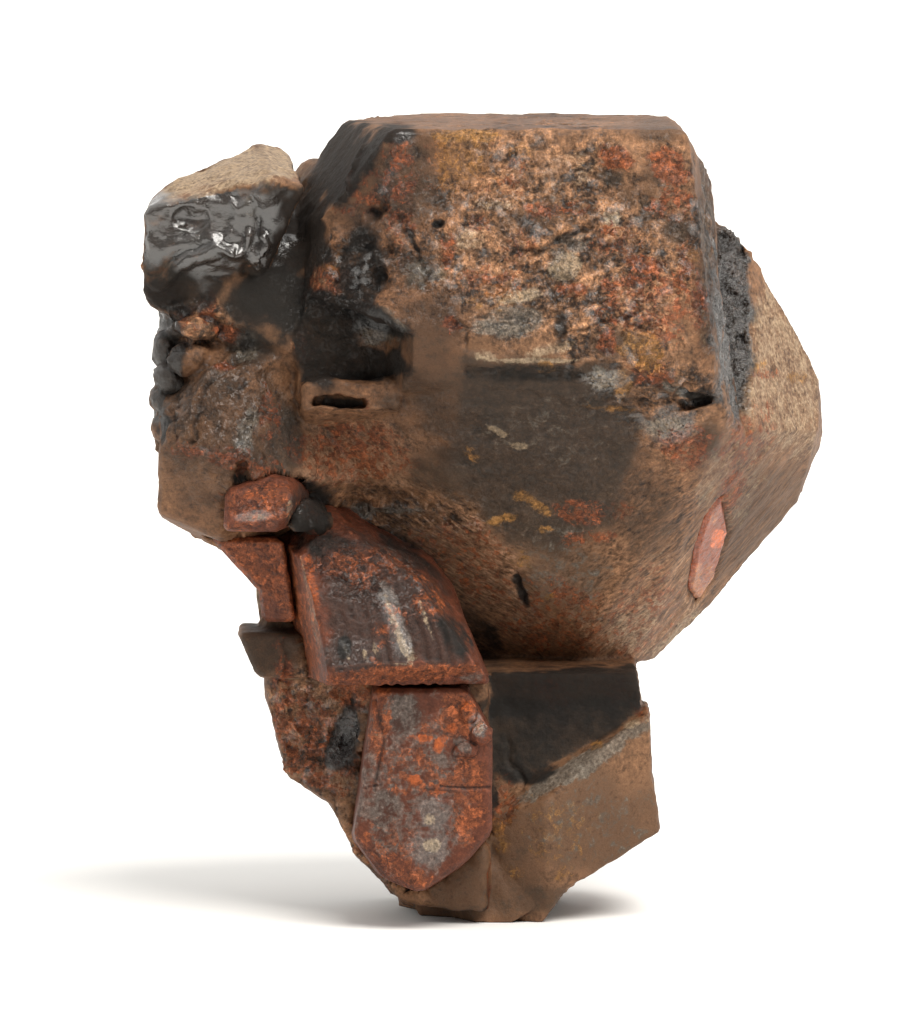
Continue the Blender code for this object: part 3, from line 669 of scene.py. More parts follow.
def way(azimuth, elevation):
    around, above = math.radians(azimuth), math.radians(elevation)
    return np.array(
        (math.cos(around) * math.cos(above), math.sin(around) * math.cos(above), math.sin(above))
    )


def leaning(places, lean):
    """Places turned in the front view, so that a line with this lean in degrees lies along the first axis."""
    angle = math.radians(lean)
    right, back, up = places.T
    along = right * math.cos(angle) + up * math.sin(angle)
    across = up * math.cos(angle) - right * math.sin(angle)
    return np.stack((along, back, across), 1)


class Nodes:
    """Short calls that add nodes to a material and join them."""

    def __init__(self, name):
        self.material = bpy.data.materials.new(name)
        self.material.use_nodes = True
        self.tree = self.material.node_tree
        self.tree.nodes.clear()
        self.output = self.tree.nodes.new("ShaderNodeOutputMaterial")

    def put(self, socket, value):
        if isinstance(value, bpy.types.NodeSocket):
            self.tree.links.new(value, socket)
        elif value is not None:
            socket.default_value = value

    def node(self, kind, inputs=(), **settings):
        made = self.tree.nodes.new(kind)
        for key, value in settings.items():
            setattr(made, key, value)
        for key, value in dict(inputs).items():
            self.put(made.inputs[key], value)
        return made

    def math(self, operation, first, second=0.0, third=0.0):
        return self.node("ShaderNodeMath", {0: first, 1: second, 2: third}, operation=operation).outputs[0]

    def ramp(self, value, low, high, start=0.0, end=1.0):
        inputs = {"Value": value, "From Min": low, "From Max": high, "To Min": start, "To Max": end}
        return self.node("ShaderNodeMapRange", inputs, interpolation_type="SMOOTHSTEP").outputs["Result"]

    def mix(self, amount, first, second, blend="MIX"):
        made = self.node("ShaderNodeMix", data_type="RGBA", blend_type=blend)
        self.put(made.inputs["Factor"], amount)
        for socket, value in ((made.inputs[6], first), (made.inputs[7], second)):
            self.put(socket, value if isinstance(value, bpy.types.NodeSocket) else (*value, 1.0))
        return made.outputs[2]

    def noise(self, places, scale, detail=4.0, rough=0.55, distortion=0.0):
        inputs = {
            "Vector": places, "Scale": scale, "Detail": detail, "Roughness": rough, "Distortion": distortion,
        }
        return self.node("ShaderNodeTexNoise", inputs).outputs["Fac"]

    def colours(self, value, stops):
        made = self.node("ShaderNodeValToRGB", {"Fac": value})
        band = made.color_ramp.elements
        while len(band) < len(stops):
            band.new(0.5)
        for element, (at, colour) in zip(band, stops):
            element.position = at
            element.color = (*colour, 1.0)
        return made.outputs["Color"]


def crystal_look(name, ground, pigments, rough=0.5, bump=1.0, calm_bump=0.25):
    """A mineral skin. The masks kept with the mesh say where each pigment, gloss, grain and sparkle lies."""
    make = Nodes(name)
    object_place = make.node("ShaderNodeTexCoord").outputs["Object"]

    def placed(shift=(0.0, 0.0, 0.0), turn=(0.0, 0.0, 0.0), stretch=(1.0, 1.0, 1.0)):
        scale = tuple(part / MM for part in stretch)
        inputs = {"Vector": object_place, "Location": shift, "Rotation": turn, "Scale": scale}
        return make.node("ShaderNodeMapping", inputs).outputs[0]

    def masks(attribute):
        held = make.node("ShaderNodeAttribute", attribute_name=attribute)
        parts = make.node("ShaderNodeSeparateColor", {"Color": held.outputs["Color"]})
        return (*parts.outputs, held.outputs["Alpha"])

    # The stain masks: rust, ochre, pale colour that is largely painted sheen and highlight, and black that is
    # partly painted shade.
    rust_mask, ochre_mask, pale_and_sheen_mask, black_mask = masks("stain")
    # The finish masks: gloss, edge wear with painted highlight, painted shade in the hollows, and sparkle.
    gloss_mask, wear_and_highlight_mask, hollow_shade_mask, sparkle_mask = masks("finish")
    grey_and_sheen_mask, coarse_mask, right_mask, left_mask = masks("texture")
    dusk_mask, tone_mask, umber_mask, ashen_mask = masks("shade")

    place = placed()
    broad = make.noise(place, 0.9, 9.0, 0.62, 0.4)
    middle = make.noise(placed((3.1, 7.7, 1.3)), 2.7, 9.0, 0.66, 0.5)
    fine = make.noise(placed((9.2, 2.6, 5.8)), 8.0, 7.0, 0.62)
    grain = make.noise(placed((4.4, 8.1, 6.0)), 24.0, 3.0, 0.6)

    def along(turn):
        """Places stretched along a line that leans by the turn in the front view."""
        turned = placed(turn=(0.0, turn, 0.0))
        return make.node("ShaderNodeMapping", {"Vector": turned, "Scale": (0.16, 1.0, 1.0)}).outputs[0]

    streak_right = make.noise(along(0.88), 9.0, 6.0, 0.62, 0.3)
    streak_left = make.noise(along(-0.75), 9.0, 6.0, 0.62, 0.3)
    # Grain outlines wander, so that no grain is a clean polygon.
    stray = make.node("ShaderNodeTexNoise", {"Vector": placed((6.1, 2.2, 9.4)), "Scale": 3.5, "Detail": 4.0})
    wander = make.node(
        "ShaderNodeVectorMath", {0: stray.outputs["Color"], 1: (0.5, 0.5, 0.5)}, operation="SUBTRACT"
    ).outputs[0]
    loose = make.node(
        "ShaderNodeVectorMath", {0: wander, 1: (0.45, 0.45, 0.45), 2: place}, operation="MULTIPLY_ADD"
    ).outputs[0]
    lumps = make.node("ShaderNodeTexVoronoi", {"Vector": loose, "Scale": 4.2}, feature="F1")
    grit = make.node("ShaderNodeTexVoronoi", {"Vector": loose, "Scale": 11.0}, feature="F1")

    def lots(cells):
        """Three steady random numbers for each grain."""
        return make.node("ShaderNodeSeparateColor", {"Color": cells.outputs["Color"]}).outputs

    lump_lot, grit_lot = lots(lumps), lots(grit)

    def times(first, second):
        return make.math("MULTIPLY", first, second)

    def blend(*parts):
        """The weighted sum of several patterns."""
        total = 0.0
        for pattern, weight in parts:
            total = make.math("MULTIPLY_ADD", pattern, weight, total)
        return total

    def cut(mask, pattern, soft=0.22, gain=2.4):
        """A mask broken up by a pattern. A strong mask covers all, a weak one leaves islands."""
        amount = make.math("MULTIPLY_ADD", make.math("SUBTRACT", pattern, 0.5), gain, mask)
        return make.math("MULTIPLY", make.ramp(amount, 0.5 - soft, 0.5 + soft), make.ramp(mask, 0.0, 0.2))

    streak = blend(
        (make.math("MULTIPLY", make.math("SUBTRACT", streak_right, 0.5), right_mask), 0.7),
        (make.math("MULTIPLY", make.math("SUBTRACT", streak_left, 0.5), left_mask), 0.7),
    )
    wild = blend((middle, 0.45), (fine, 0.35), (broad, 0.2))
    mottle = make.math("ADD", wild, streak)
    # Coarse zones swing further from the middle tone than smooth ones.
    swing = make.ramp(coarse_mask, 0.0, 1.0, 0.85, 1.8)
    mottle = make.math("MULTIPLY_ADD", make.math("SUBTRACT", mottle, 0.5), swing, 0.5)
    mottle = make.math("ADD", mottle, make.math("MULTIPLY", make.math("SUBTRACT", tone_mask, 0.5), 0.36))
    colour = make.colours(mottle, ground)
    ashen = make.math("MULTIPLY", ashen_mask, make.ramp(wild, 0.35, 0.65, 0.6, 1.3))
    colour = make.mix(ashen, colour, make.mix(1.0, colour, ASHEN_BLOOM, "MULTIPLY"))
    grains = blend((fine, 0.6), (grain, 0.1), (lump_lot[0], 0.16), (grit_lot[0], 0.14))
    red_varied = make.colours(grains, pigments["rust"])
    shaded = blend((broad, 0.55), (middle, 0.35), (fine, 0.1))
    smoky = make.colours(blend((fine, 0.4), (middle, 0.35), (grain, 0.25)), pigments["dusk"])
    colour = make.mix(make.math("MULTIPLY", cut(dusk_mask, wild, 0.34, 2.8), 0.85), colour, smoky)
    # Grey colour: a grey tone, with painted reflection and highlight.
    colour = make.mix(times(cut(grey_and_sheen_mask, middle), 0.8), colour, make.colours(fine, pigments["grey"]))
    # Pale colour: painted sheen and highlights, and a pale tone on the back.
    colour = make.mix(times(cut(pale_and_sheen_mask, wild), 0.75), colour, make.colours(fine, pigments["pale"]))
    stained = blend((broad, 0.25), (middle, 0.35), (fine, 0.1), (lump_lot[1], 0.18), (grit_lot[1], 0.12))
    colour = make.mix(make.math("MULTIPLY", cut(rust_mask, stained, 0.3, 3.2), 0.88), colour, red_varied)
    colour = make.mix(
        make.math("MULTIPLY", cut(ochre_mask, stained, 0.3, 2.3), 0.88),
        colour, make.colours(grains, pigments["ochre"]),
    )
    colour = make.mix(times(cut(black_mask, shaded, 0.3, 2.4), 0.94), colour, pigments["black"])
    # Each small lump has a tone of its own in the coarse zones.
    lump_lots = blend((lump_lot[2], 0.5), (grit_lot[2], 0.5))
    lump_tone = times(make.math("SUBTRACT", lump_lots, 0.5), coarse_mask)
    grit_tone = times(make.ramp(grain, 0.3, 0.7, -1.0, 1.0), make.ramp(coarse_mask, 0.0, 1.0, 0.12, 0.32))
    speckle = make.math("ADD", make.math("ADD", grit_tone, 1.0), make.math("MULTIPLY", lump_tone, 0.9))
    # Hollows are darkened as painted shade, and raised edges and lump tops are lightened as wear and painted
    # highlight.
    speckle = make.math("MULTIPLY", speckle, make.math("MULTIPLY_ADD", hollow_shade_mask, -0.76, 1.0))
    speckle = make.math("MULTIPLY", speckle, make.math("MULTIPLY_ADD", wear_and_highlight_mask, 0.55, 1.0))
    grey_level = make.node("ShaderNodeCombineColor", {0: speckle, 1: speckle, 2: speckle}).outputs[0]
    colour = make.mix(1.0, colour, grey_level, "MULTIPLY")
    deep = make.math("MULTIPLY", umber_mask, make.ramp(shaded, 0.35, 0.65, 0.75, 1.15))
    colour = make.mix(deep, colour, make.mix(1.0, colour, UMBER_FILM, "MULTIPLY"))

    roughness = make.math("MULTIPLY_ADD", fine, 0.36, rough - 0.18)
    roughness = make.math("MULTIPLY_ADD", black_mask, 0.2, roughness)
    # A few of the smallest grains are clean faces that catch the light.
    glint = make.math("MULTIPLY", make.ramp(grit_lot[0], 0.66, 0.8), sparkle_mask)
    glaze = make.math("MAXIMUM", make.ramp(gloss_mask, 0.25, 0.85), glint)

    tilt = make.node(
        "ShaderNodeVectorMath", {0: grit.outputs["Color"], 1: (0.5, 0.5, 0.5)}, operation="SUBTRACT"
    ).outputs[0]
    tilt = make.node(
        "ShaderNodeVectorMath", {0: tilt, "Scale": times(sparkle_mask, 1.5)}, operation="SCALE"
    ).outputs[0]
    geometry = make.node("ShaderNodeNewGeometry").outputs["Normal"]
    tilted = make.node("ShaderNodeVectorMath", {0: geometry, 1: tilt}, operation="ADD").outputs[0]
    normal = make.node("ShaderNodeVectorMath", {0: tilted}, operation="NORMALIZE").outputs[0]
    lively = make.ramp(coarse_mask, 0.0, 1.0, calm_bump, 1.0)
    for pattern, depth in (
        (blend((middle, 1.0), (streak, 0.5)), 0.1),
        (lumps.outputs["Distance"], -0.06),
        (fine, 0.06),
        (grain, 0.02),
    ):
        normal = make.node(
            "ShaderNodeBump",
            {"Strength": lively, "Distance": depth * MM * bump, "Height": pattern, "Normal": normal},
        ).outputs[0]
    shader = make.node(
        "ShaderNodeBsdfPrincipled",
        {
            "Base Color": colour, "Roughness": roughness, "IOR": MINERAL_IOR, "Normal": normal,
            "Coat Weight": glaze, "Coat Roughness": GLAZE_ROUGHNESS, "Coat IOR": GLAZE_IOR,
            "Coat Normal": normal,
        },
    )
    make.put(make.output.inputs["Surface"], shader.outputs[0])
    return make.material


def tinted(colour, *factors):
    """Stops of a colour ramp, from the darkest tone of a colour to its palest."""
    at = np.linspace(0.34, 0.66, len(factors))
    return [(float(spot), tuple(min(c * factor, 0.9) for c in colour)) for spot, factor in zip(at, factors)]


class ReliefSettings(bpy.types.PropertyGroup):
    cell: FloatProperty(
        name="Cell", description="Grid of the dark cluster's fine mesh, in millimetres",
        default=0.09, min=0.06,
    )
    fine_cell: FloatProperty(
        name="Fine cell", description="Grid of the zircons' fine meshes, in millimetres",
        default=0.06, min=0.04,
    )
    budget: IntProperty(name="Budget", description="Most triangles in the dark cluster", default=195000)
    fine_budget: IntProperty(name="Fine budget", description="Most triangles in one zircon", default=60000)
    lump: FloatProperty(name="Lumps", description="Height of the lumps, in millimetres", default=0.2)
    pit: FloatProperty(name="Pits", description="Depth of the pits, in millimetres", default=0.28)
    streak: FloatProperty(
        name="Streaks", description="Height of the growth streaks, in millimetres", default=0.03
    )


def pigment(name, description, colour):
    return FloatVectorProperty(name=name, description=description, subtype="COLOR", default=colour)


class ColourSettings(bpy.types.PropertyGroup):
    brown: pigment("Brown", "Middle tone of the betafite", (0.188, 0.095, 0.048))
    # The black pigment also paints shade in the hollow, the grooves and under the ridge and the overhang.
    black: pigment("Black", "Freshly broken betafite", (0.009, 0.0075, 0.006))
    # The dusk pigment also paints shade under the ridge and the overhang.
    dusk: pigment("Dusk", "Dark slate film on the smooth faces", (0.032, 0.0245, 0.0175))
    # The grey pigment also paints reflection and highlight.
    grey: pigment("Grey", "Grey film on the faces", (0.115, 0.1, 0.08))
    # The pale pigment also paints sheen and highlights.
    pale: pigment("Pale", "Pale dusty film", (0.3, 0.225, 0.145))
    rust: pigment("Rust", "Orange-red iron stain", (0.195, 0.053, 0.018))
    ochre: pigment("Ochre", "Yellow-brown iron stain", (0.27, 0.13, 0.036))
    red: pigment("Red", "Middle tone of the zircon", (0.1, 0.029, 0.014))
    orange: pigment("Orange", "Bright stain on the zircon", (0.33, 0.075, 0.018))
    salmon: pigment("Salmon", "The sliver in the right face", (0.28, 0.06, 0.015))


class StageSettings(bpy.types.PropertyGroup):
    floor: pigment("Floor", "Pale floor", (0.9, 0.895, 0.88))
    surround: FloatProperty(name="Surround", description="Pale light from above and behind", default=1.35)
    front: FloatProperty(name="Front", description="Pale light from the viewer's side", default=0.22)
    key: FloatProperty(name="Key", description="Strength of the large soft light", default=3.3)


def pigments_of(tones):
    """The pigments of a mineral skin, from the colours that a user may change."""
    return {
        "black": tuple(tones.black),
        "dusk": tinted(tones.dusk, 0.35, 0.8, 1.1, 2.1),
        "grey": tinted(tones.grey, 0.4, 0.9, 1.3, 2.2),
        "pale": tinted(tones.pale, 0.45, 0.9, 1.15, 1.6),
        "rust": tinted(tones.rust, 0.25, 0.65, 1.1, 2.2),
        "ochre": tinted(tones.ochre, 0.3, 0.7, 1.1, 1.8),
    }


class SPECIMEN_OT_betafite(bpy.types.Operator):
    """Builds the dark cluster, with its relief and stains"""

    bl_idname = "specimen.betafite"
    bl_label = "Dark cluster"

    def execute(self, context):
        relief, tones = context.scene.relief, context.scene.tones
        skin = Surface("betafite", relief.cell)
        start = skin.places.copy()
        view = front_steps(start)
        front = smooth(-0.05, 0.15, skin.facet @ np.array(toward_eye()))
        away = 1.0 - front
        wander = rolling(start, 1.2, 4, 1.0) * 0.35
        broad = rolling(start, 4.5, 3, 2.0)
        shake = np.stack([rolling(start, 0.6, 3, 40.0 + axis) for axis in range(2)], 1) * 5.0

        def zone(table):
            return patches(view, wander, table) * front

        coarse = np.maximum(zone(COARSE), smooth(-0.1, 0.6, broad) * away * 0.9)
        pitted = np.maximum(zone(PITTED), smooth(0.2, 0.7, -broad) * away * 0.6)
        molten = zone(MOLTEN)
        streaks_right = np.maximum(zone(STREAKED_RIGHT), away * 0.3)
        streaks_left = np.maximum(zone(STREAKED_LEFT), away * 0.3)

        edge = smooth(0.02, 0.12, skin.bulge(6))
        bent = start + 0.5 * np.stack([rolling(start, 1.1, 2, 9.0 + axis) for axis in range(3)], 1)
        out = 0.015 * rolling(start, 0.5, 4, 3.0) + 0.035 * rolling(start, 2.6, 3, 4.0)
        near, grain_lot = cells(bent, 0.62, 5.0, (1.25, 1.0, 0.85))
        domes = (1 - smooth(0.0, 0.75, near)) * (0.35 + 0.65 * np.abs(grain_lot))
        tiny, tiny_lot = cells(start, 0.3, 6.0)
        grains = (1 - smooth(0.0, 0.7, tiny)) * (0.3 + 0.7 * np.abs(tiny_lot))
        out += coarse * relief.lump * (
            0.75 * (domes - 0.3) + 0.3 * (grains - 0.3) + 0.7 * rolling(start, 1.1, 5, 7.5, (1.7, 1.0, 0.8))
        )
        hole, hole_lot = cells(start, 0.8, 7.0)
        out -= pitted * relief.pit * (1 - smooth(0.1, 0.55, hole)) * smooth(-0.2, 0.4, hole_lot)
        out += pitted * 0.1 * rolling(start, 0.45, 4, 8.0)
        out += molten * (
            0.24 * rolling(bent, 1.9, 2, 12.0)
            + 0.09 * rolling(bent, 0.8, 2, 81.0)
            + 0.07 * (crested(bent, 1.3, 2, 13.0) - 0.5)
        )
        for lines, lean, seed in ((streaks_right, 50.0, 14.0), (streaks_left, -43.0, 44.0)):
            grown = leaning(start, lean)
            out += lines * relief.streak * rolling(grown, 0.28, 3, seed, (7.0, 1.5, 1.0))
        out += (mounds(view, MOUNDS) + crests(view, shake, CRESTS)) * front
        out -= edge * (0.02 + 0.12 * np.clip(rolling(start, 0.6, 3, 15.0), 0, 1))

        out *= smooth(0.02, 0.35, start[:, 2])
        skin.move(out)
        loose = 0.035 + 0.13 * np.maximum(patches(view, wander, UNEVEN), away * 0.3)
        loose = loose * smooth(0.0, 0.6, start[:, 2])
        skin.shift(drift(start, 1.1, 60.0) * loose[:, None])
        skin.close_on([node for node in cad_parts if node.startswith("zircon")], 0.2, 0.03)
        skin.places[:, 2] = np.maximum(skin.places[:, 2], 0.0)
        skin.set_places()

        bulge, wide_bulge = skin.bulge(3), skin.bulge(10)
        lively = 0.35 + 0.65 * np.maximum(coarse, pitted)
        # Hollows darken as painted shade; raised edges and lump tops lighten as wear and painted highlight.
        hollow = np.maximum(smooth(0.004, 0.035, -bulge) * lively, 0.8 * smooth(0.02, 0.12, -wide_bulge))
        wear_and_highlight = np.maximum(smooth(0.008, 0.035, bulge) * lively, 0.6 * smooth(0.03, 0.12, wide_bulge))
        rust = np.maximum(zone(RUST), smooth(0.0, 0.6, rolling(start, 3.0, 4, 16.0)) * away * 0.6)
        ochre = np.maximum(zone(OCHRE), smooth(0.35, 0.8, rolling(start, 1.5, 3, 18.0)) * away * 0.5)
        # Pale: painted sheen and highlights from the front patches, and a pale tone at random on the back.
        pale = np.maximum(zone(PALE_SHEEN), smooth(0.0, 0.6, rolling(start, 6.0, 3, 19.0)) * away * 0.5)
        # Grey: painted reflection and highlight from the front patches, and a grey tone at random on the
        # back.
        grey = np.maximum(zone(GREY_AND_SHEEN), smooth(0.1, 0.7, rolling(start, 3.5, 3, 20.0)) * away * 0.6)
        black = np.maximum(zone(BLACK), smooth(0.2, 0.7, rolling(start, 5.0, 3, 17.0)) * away * 0.6)
        dusk = np.maximum(zone(DUSK), smooth(-0.3, 0.4, rolling(start, 5.0, 3, 47.0)) * away * 0.85)
        rim = rolling(start, 0.9, 4, 82.0) * 7.0
        # The shaded faces under the overhang, under the ridge and in the hollow are painted black and dusky.
        black = np.maximum(black, faces(view, rim, BLACK_SHADE_FACES) * front)
        dusk = np.maximum(dusk, faces(view, rim, DUSK_SHADE_FACES) * front)
        ahead = 1.0 - smooth(-1.0, 0.5, start[:, 1])
        # The lip over the hollow and the seam beside the glossy crystal are painted black as shade.
        black = np.maximum(black, patches(view, 0.0, BLACK_SHADE_ALL_ROUND) * ahead)
        # The up-facing top of the glossy crystal is kept pale as a painted sheen, without dark patches and
        # with less gloss.
        lit_top = smooth(0.4, 0.65, skin.facet[:, 2]) * patches(view, 0.0, SHEEN_TOP)
        # Edges in the black lip and seam and in the shaded seam are not lightened.
        wear_and_highlight *= 1.0 - patches(view, 0.0, BLACK_SHADE_ALL_ROUND + SHADED_SEAM)
        black *= 1.0 - lit_top
        dusk *= 1.0 - lit_top
        skin.attribute("stain", rust, ochre, pale, black)
        clean = coarse * smooth(0.8, 0.86, np.abs(tiny_lot)) * 0.8
        gloss = np.maximum(zone(GLOSS) * (1.0 - 0.8 * lit_top), clean)
        skin.attribute("finish", gloss, wear_and_highlight, hollow, np.maximum(zone(SPARKLE), coarse * 0.3))
        skin.attribute("texture", grey, coarse, streaks_right, streaks_left)
        umber = patches(view, 0.5 * wander, UMBER) * front
        umber = np.maximum(umber, away * np.clip(0.75 + 0.6 * rolling(start, 6.0, 3, 71.0), 0.25, 1.0))
        lid = smooth(0.95, 0.99, skin.facet[:, 2]) * smooth(20.0, 26.0, start[:, 2])
        umber = np.maximum(umber, lid * np.clip(0.5 + 0.5 * rolling(start, 4.0, 3, 72.0), 0.1, 0.9))
        tone = 0.5 + coarse * 0.5 * (np.abs(grain_lot) - 0.5) * 1.4
        skin.attribute("shade", dusk, tone, umber, zone(ASHEN))
        ground = tinted(tones.brown, 0.15, 0.5, 1.0, 1.6, 2.6)
        look = crystal_look("betafite_skin", ground, pigments_of(tones), 0.6)
        skin.finish("betafite_cluster", relief.budget, look, "betafite")
        return {"FINISHED"}


class SPECIMEN_OT_zircons(bpy.types.Operator):
    """Builds the four red-brown zircon crystals"""

    bl_idname = "specimen.zircons"
    bl_label = "Zircon crystals"

    def execute(self, context):
        relief, tones = context.scene.relief, context.scene.tones
        pigments = pigments_of(tones)
        pigments["ochre"] = tinted(tones.orange, 0.5, 0.9, 1.15, 1.5)
        pigments["grey"] = tinted((0.1, 0.078, 0.066), 0.4, 0.9, 1.3, 2.2)
        pigments["dusk"] = tinted((0.036, 0.021, 0.016), 0.4, 0.8, 1.1, 1.8)
        look = crystal_look("zircon_skin", tinted(tones.red, 0.3, 0.7, 1.0, 1.4, 2.2), pigments, 0.5)
        for node in ("zircon_plate", "zircon_prism", "zircon_tablet", "zircon_knob"):
            self.crystal(node, relief, look)
        return {"FINISHED"}

    def crystal(self, node, relief, look):
        skin = Surface(node, relief.fine_cell)
        start = skin.places.copy()
        view = front_steps(start)
        front = smooth(-0.05, 0.15, skin.facet @ np.array(toward_eye()))
        wander = rolling(start, 0.8, 4, 21.0) * 0.35
        edge = smooth(0.01, 0.06, skin.bulge(6))
        top = smooth(0.45, 0.7, skin.facet[:, 2])
        out = 0.015 * rolling(start, 0.35, 4, 22.0) + 0.03 * rolling(start, 1.4, 3, 23.0)
        out -= edge * (0.02 + 0.08 * np.clip(rolling(start, 0.4, 3, 24.0), 0, 1))
        if node == "zircon_prism":
            lean = start[:, 0] + 0.28 * (start[:, 2] - 9.0) + 0.1 * rolling(start, 1.0, 3, 25.0)
            ribs = np.sin(lean * 2 * math.pi / RIB_SPACING) * smooth(-0.3, 0.4, rolling(start, 1.2, 2, 26.0))
            out += (1 - top) * RIB_HEIGHT * ribs
            out += top * 0.1 * rolling(start, 0.7, 5, 27.0, (1.3, 1.0, 1.0))
        skin.move(out + (mounds(view, ZIRCON_MOUNDS) + crests(view, 0.0, ZIRCON_CRESTS)) * front)
        bulge = skin.bulge(4)

        def zone(table):
            return patches(view, wander, table) * front

        rust = np.maximum(zone(ZIRCON_RUST), smooth(0.2, 0.7, rolling(start, 1.6, 4, 28.0)) * 0.4)
        coarse = np.maximum(zone(ZIRCON_COARSE), 0.1 if node == "zircon_tablet" else 0.35)
        skin.attribute("stain", rust, zone(ZIRCON_ORANGE), zone(ZIRCON_PALE_HIGHLIGHTS), zone(ZIRCON_BLACK))
        # Hollows darken as painted shade, and raised edges lighten as wear and painted highlight.
        wear_and_highlight, hollow = smooth(0.006, 0.025, bulge), smooth(0.004, 0.025, -bulge)
        skin.attribute("finish", zone(ZIRCON_GLOSS), wear_and_highlight, hollow, zone(ZIRCON_SPARKLE))
        skin.attribute("texture", zone(ZIRCON_GREY_AND_SHEEN), coarse, 0 * rust, 0.4 + 0 * rust)
        skin.attribute("shade", zone(ZIRCON_DUSK), 0.5 + 0 * rust, 0 * rust, 0 * rust)
        skin.finish(node + "_crystal", relief.fine_budget, look, "zircon")


class SPECIMEN_OT_sliver(bpy.types.Operator):
    """Builds the salmon zircon sliver in the right face"""

    bl_idname = "specimen.sliver"
    bl_label = "Zircon sliver"

    def execute(self, context):
        relief, tones = context.scene.relief, context.scene.tones
        pigments = pigments_of(tones)
        pigments["rust"] = tinted(tones.salmon, 0.35, 0.7, 1.0, 1.3)
        pigments["ochre"] = tinted((0.7, 0.14, 0.02), 0.5, 0.9, 1.1, 1.2)
        pigments["pale"] = tinted((0.42, 0.16, 0.06), 0.6, 0.9, 1.1, 1.3)
        look = crystal_look("sliver_skin", tinted(tones.salmon, 0.45, 0.8, 1.0, 1.25, 1.6), pigments, 0.45)
        skin = Surface("zircon_sliver", relief.fine_cell)
        start = skin.places.copy()
        view = front_steps(start)
        front = smooth(-0.05, 0.15, skin.facet @ np.array(toward_eye()))
        wander = rolling(start, 0.5, 4, 31.0) * 0.35
        out = 0.02 * rolling(start, 0.3, 4, 32.0) + 0.05 * rolling(start, 1.1, 3, 33.0)
        skin.move(out)
        bulge = skin.bulge(4)
        rust, orange, pale = (
            patches(view, wander, table) * front for table in (SLIVER_RUST, SLIVER_ORANGE, SLIVER_PALE)
        )
        even = 0 * rust
        skin.attribute("stain", rust, orange, pale, even)
        # Hollows darken as painted shade, and raised edges lighten as wear and painted highlight.
        skin.attribute(
            "finish", 0.5 * front, smooth(0.006, 0.025, bulge), smooth(0.004, 0.025, -bulge), 0.3 * front
        )
        skin.attribute("texture", even, even + 0.5, 0.5 + even, even)
        skin.attribute("shade", even, even + 0.5, even, even)
        skin.finish("zircon_sliver_crystal", relief.fine_budget, look, "zircon_sliver")
        return {"FINISHED"}


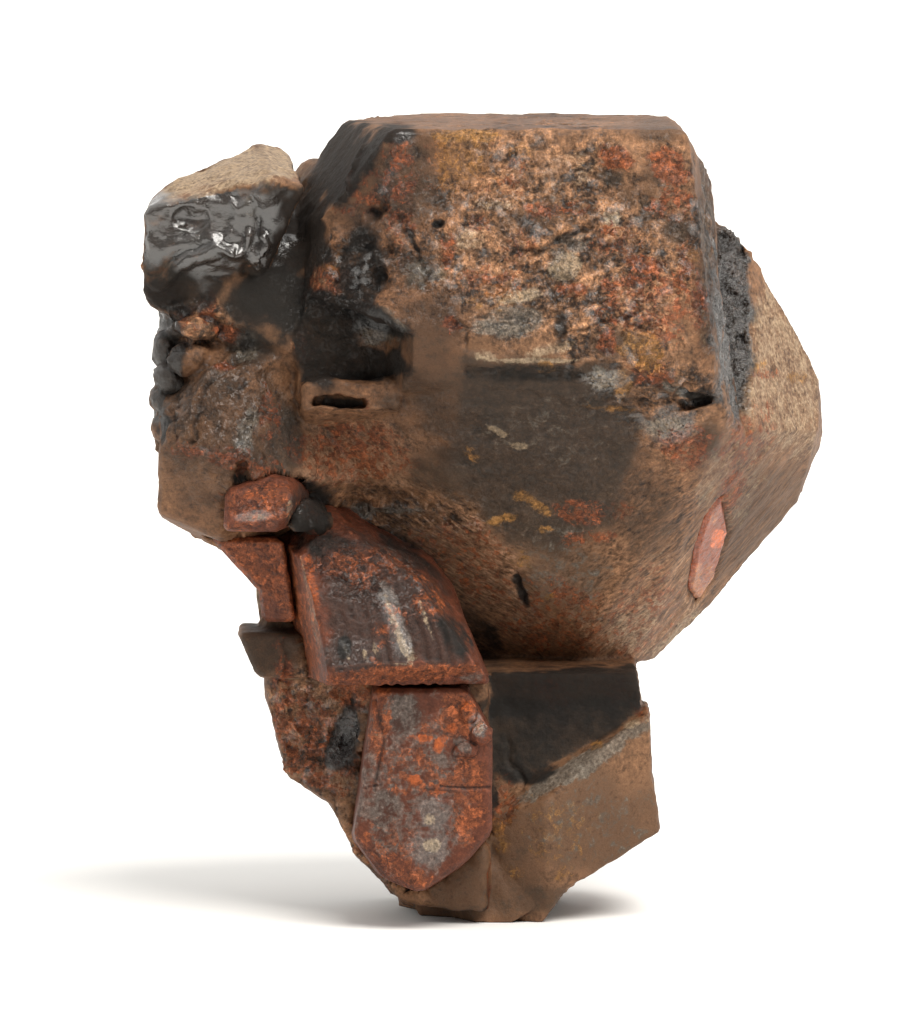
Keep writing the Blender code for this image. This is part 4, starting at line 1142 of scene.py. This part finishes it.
class SPECIMEN_OT_stage(bpy.types.Operator):
    """Adds the pale floor, the soft light and the front camera"""

    bl_idname = "specimen.stage"
    bl_label = "Stage"

    def execute(self, context):
        scene, settings = context.scene, context.scene.stage
        shape = bmesh.new()
        bmesh.ops.create_grid(shape, x_segments=1, y_segments=1, size=FLOOR_HALF)
        mesh = bpy.data.meshes.new("floor")
        shape.to_mesh(mesh)
        shape.free()
        floor = bpy.data.objects.new("floor", mesh)
        scene.collection.objects.link(floor)
        make = Nodes("floor")
        place = make.node("ShaderNodeTexCoord").outputs["Object"]
        place = make.node("ShaderNodeMapping", {"Vector": place, "Scale": (1 / MM,) * 3}).outputs[0]
        paper = make.noise(place, 0.5)
        shade = tuple(part * 0.99 for part in settings.floor)
        tint = make.colours(paper, [(0.3, shade), (0.7, tuple(settings.floor))])
        inputs = {"Base Color": tint, "Roughness": 0.9, "Specular IOR Level": 0.1}
        shader = make.node("ShaderNodeBsdfPrincipled", inputs)
        make.put(make.output.inputs["Surface"], shader.outputs[0])
        mesh.materials.append(make.material)

        world = bpy.data.worlds.new("surround")
        world.use_nodes = True
        tree = world.node_tree
        sky = tree.nodes["Background"]
        sky.inputs["Color"].default_value = (1.0, 0.985, 0.955, 1.0)
        ahead = tree.nodes.new("ShaderNodeVectorMath")
        ahead.operation = "DOT_PRODUCT"
        ahead.inputs[1].default_value = (0.0, 1.0, 0.6)
        tree.links.new(tree.nodes.new("ShaderNodeTexCoord").outputs["Generated"], ahead.inputs[0])
        fade = tree.nodes.new("ShaderNodeMapRange")
        fade.interpolation_type = "SMOOTHSTEP"
        span = {"From Min": -0.5, "From Max": 0.8, "To Min": settings.front, "To Max": settings.surround}
        for key, value in span.items():
            fade.inputs[key].default_value = value
        tree.links.new(ahead.outputs["Value"], fade.inputs["Value"])
        tree.links.new(fade.outputs["Result"], sky.inputs["Strength"])
        scene.world = world

        lamp = bpy.data.lights.new("key", "SUN")
        lamp.energy, lamp.angle, lamp.color = settings.key, math.radians(KEY_SPREAD), KEY_TONE
        held = bpy.data.objects.new("key", lamp)
        held.location = Vector(way(*KEY_FROM))
        held.rotation_mode = "QUATERNION"
        held.rotation_quaternion = (-held.location).to_track_quat("-Z", "Y")
        scene.collection.objects.link(held)

        lens = bpy.data.cameras.new("front")
        camera = bpy.data.objects.new("front", lens)
        back = toward_eye()
        camera.location = (AIM + back * EYE_DISTANCE) * MM
        camera.rotation_mode = "QUATERNION"
        camera.rotation_quaternion = (-back).to_track_quat("-Z", "Y")
        lens.sensor_width = SENSOR
        lens.lens = SENSOR * EYE_DISTANCE / (FRAME_HIGH * STEP)
        lens.clip_start, lens.clip_end = 0.01, 200.0
        scene.collection.objects.link(camera)
        scene.camera = camera
        scene.view_settings.view_transform = "Standard"
        return {"FINISHED"}


class SPECIMEN_PT_panel(bpy.types.Panel):
    """Lists the operators that build the specimen"""

    bl_label = "Betafite with zircon"
    bl_space_type = "VIEW_3D"
    bl_region_type = "UI"
    bl_category = "Specimen"

    def draw(self, context):
        for kind in OPERATORS:
            self.layout.operator(kind.bl_idname)


OPERATORS = (SPECIMEN_OT_stage, SPECIMEN_OT_betafite, SPECIMEN_OT_zircons, SPECIMEN_OT_sliver)
GROUPS = {"relief": ReliefSettings, "tones": ColourSettings, "stage": StageSettings}


def register():
    for kind in (*GROUPS.values(), *OPERATORS, SPECIMEN_PT_panel):
        bpy.utils.register_class(kind)
    for name, kind in GROUPS.items():
        setattr(bpy.types.Scene, name, PointerProperty(type=kind))


def unregister():
    for name in GROUPS:
        delattr(bpy.types.Scene, name)
    for kind in (SPECIMEN_PT_panel, *reversed(OPERATORS), *reversed(GROUPS.values())):
        bpy.utils.unregister_class(kind)


def main():
    register()
    for kind in OPERATORS:
        group, name = kind.bl_idname.split(".")
        getattr(getattr(bpy.ops, group), name)()


if __name__ == "__main__":
    main()
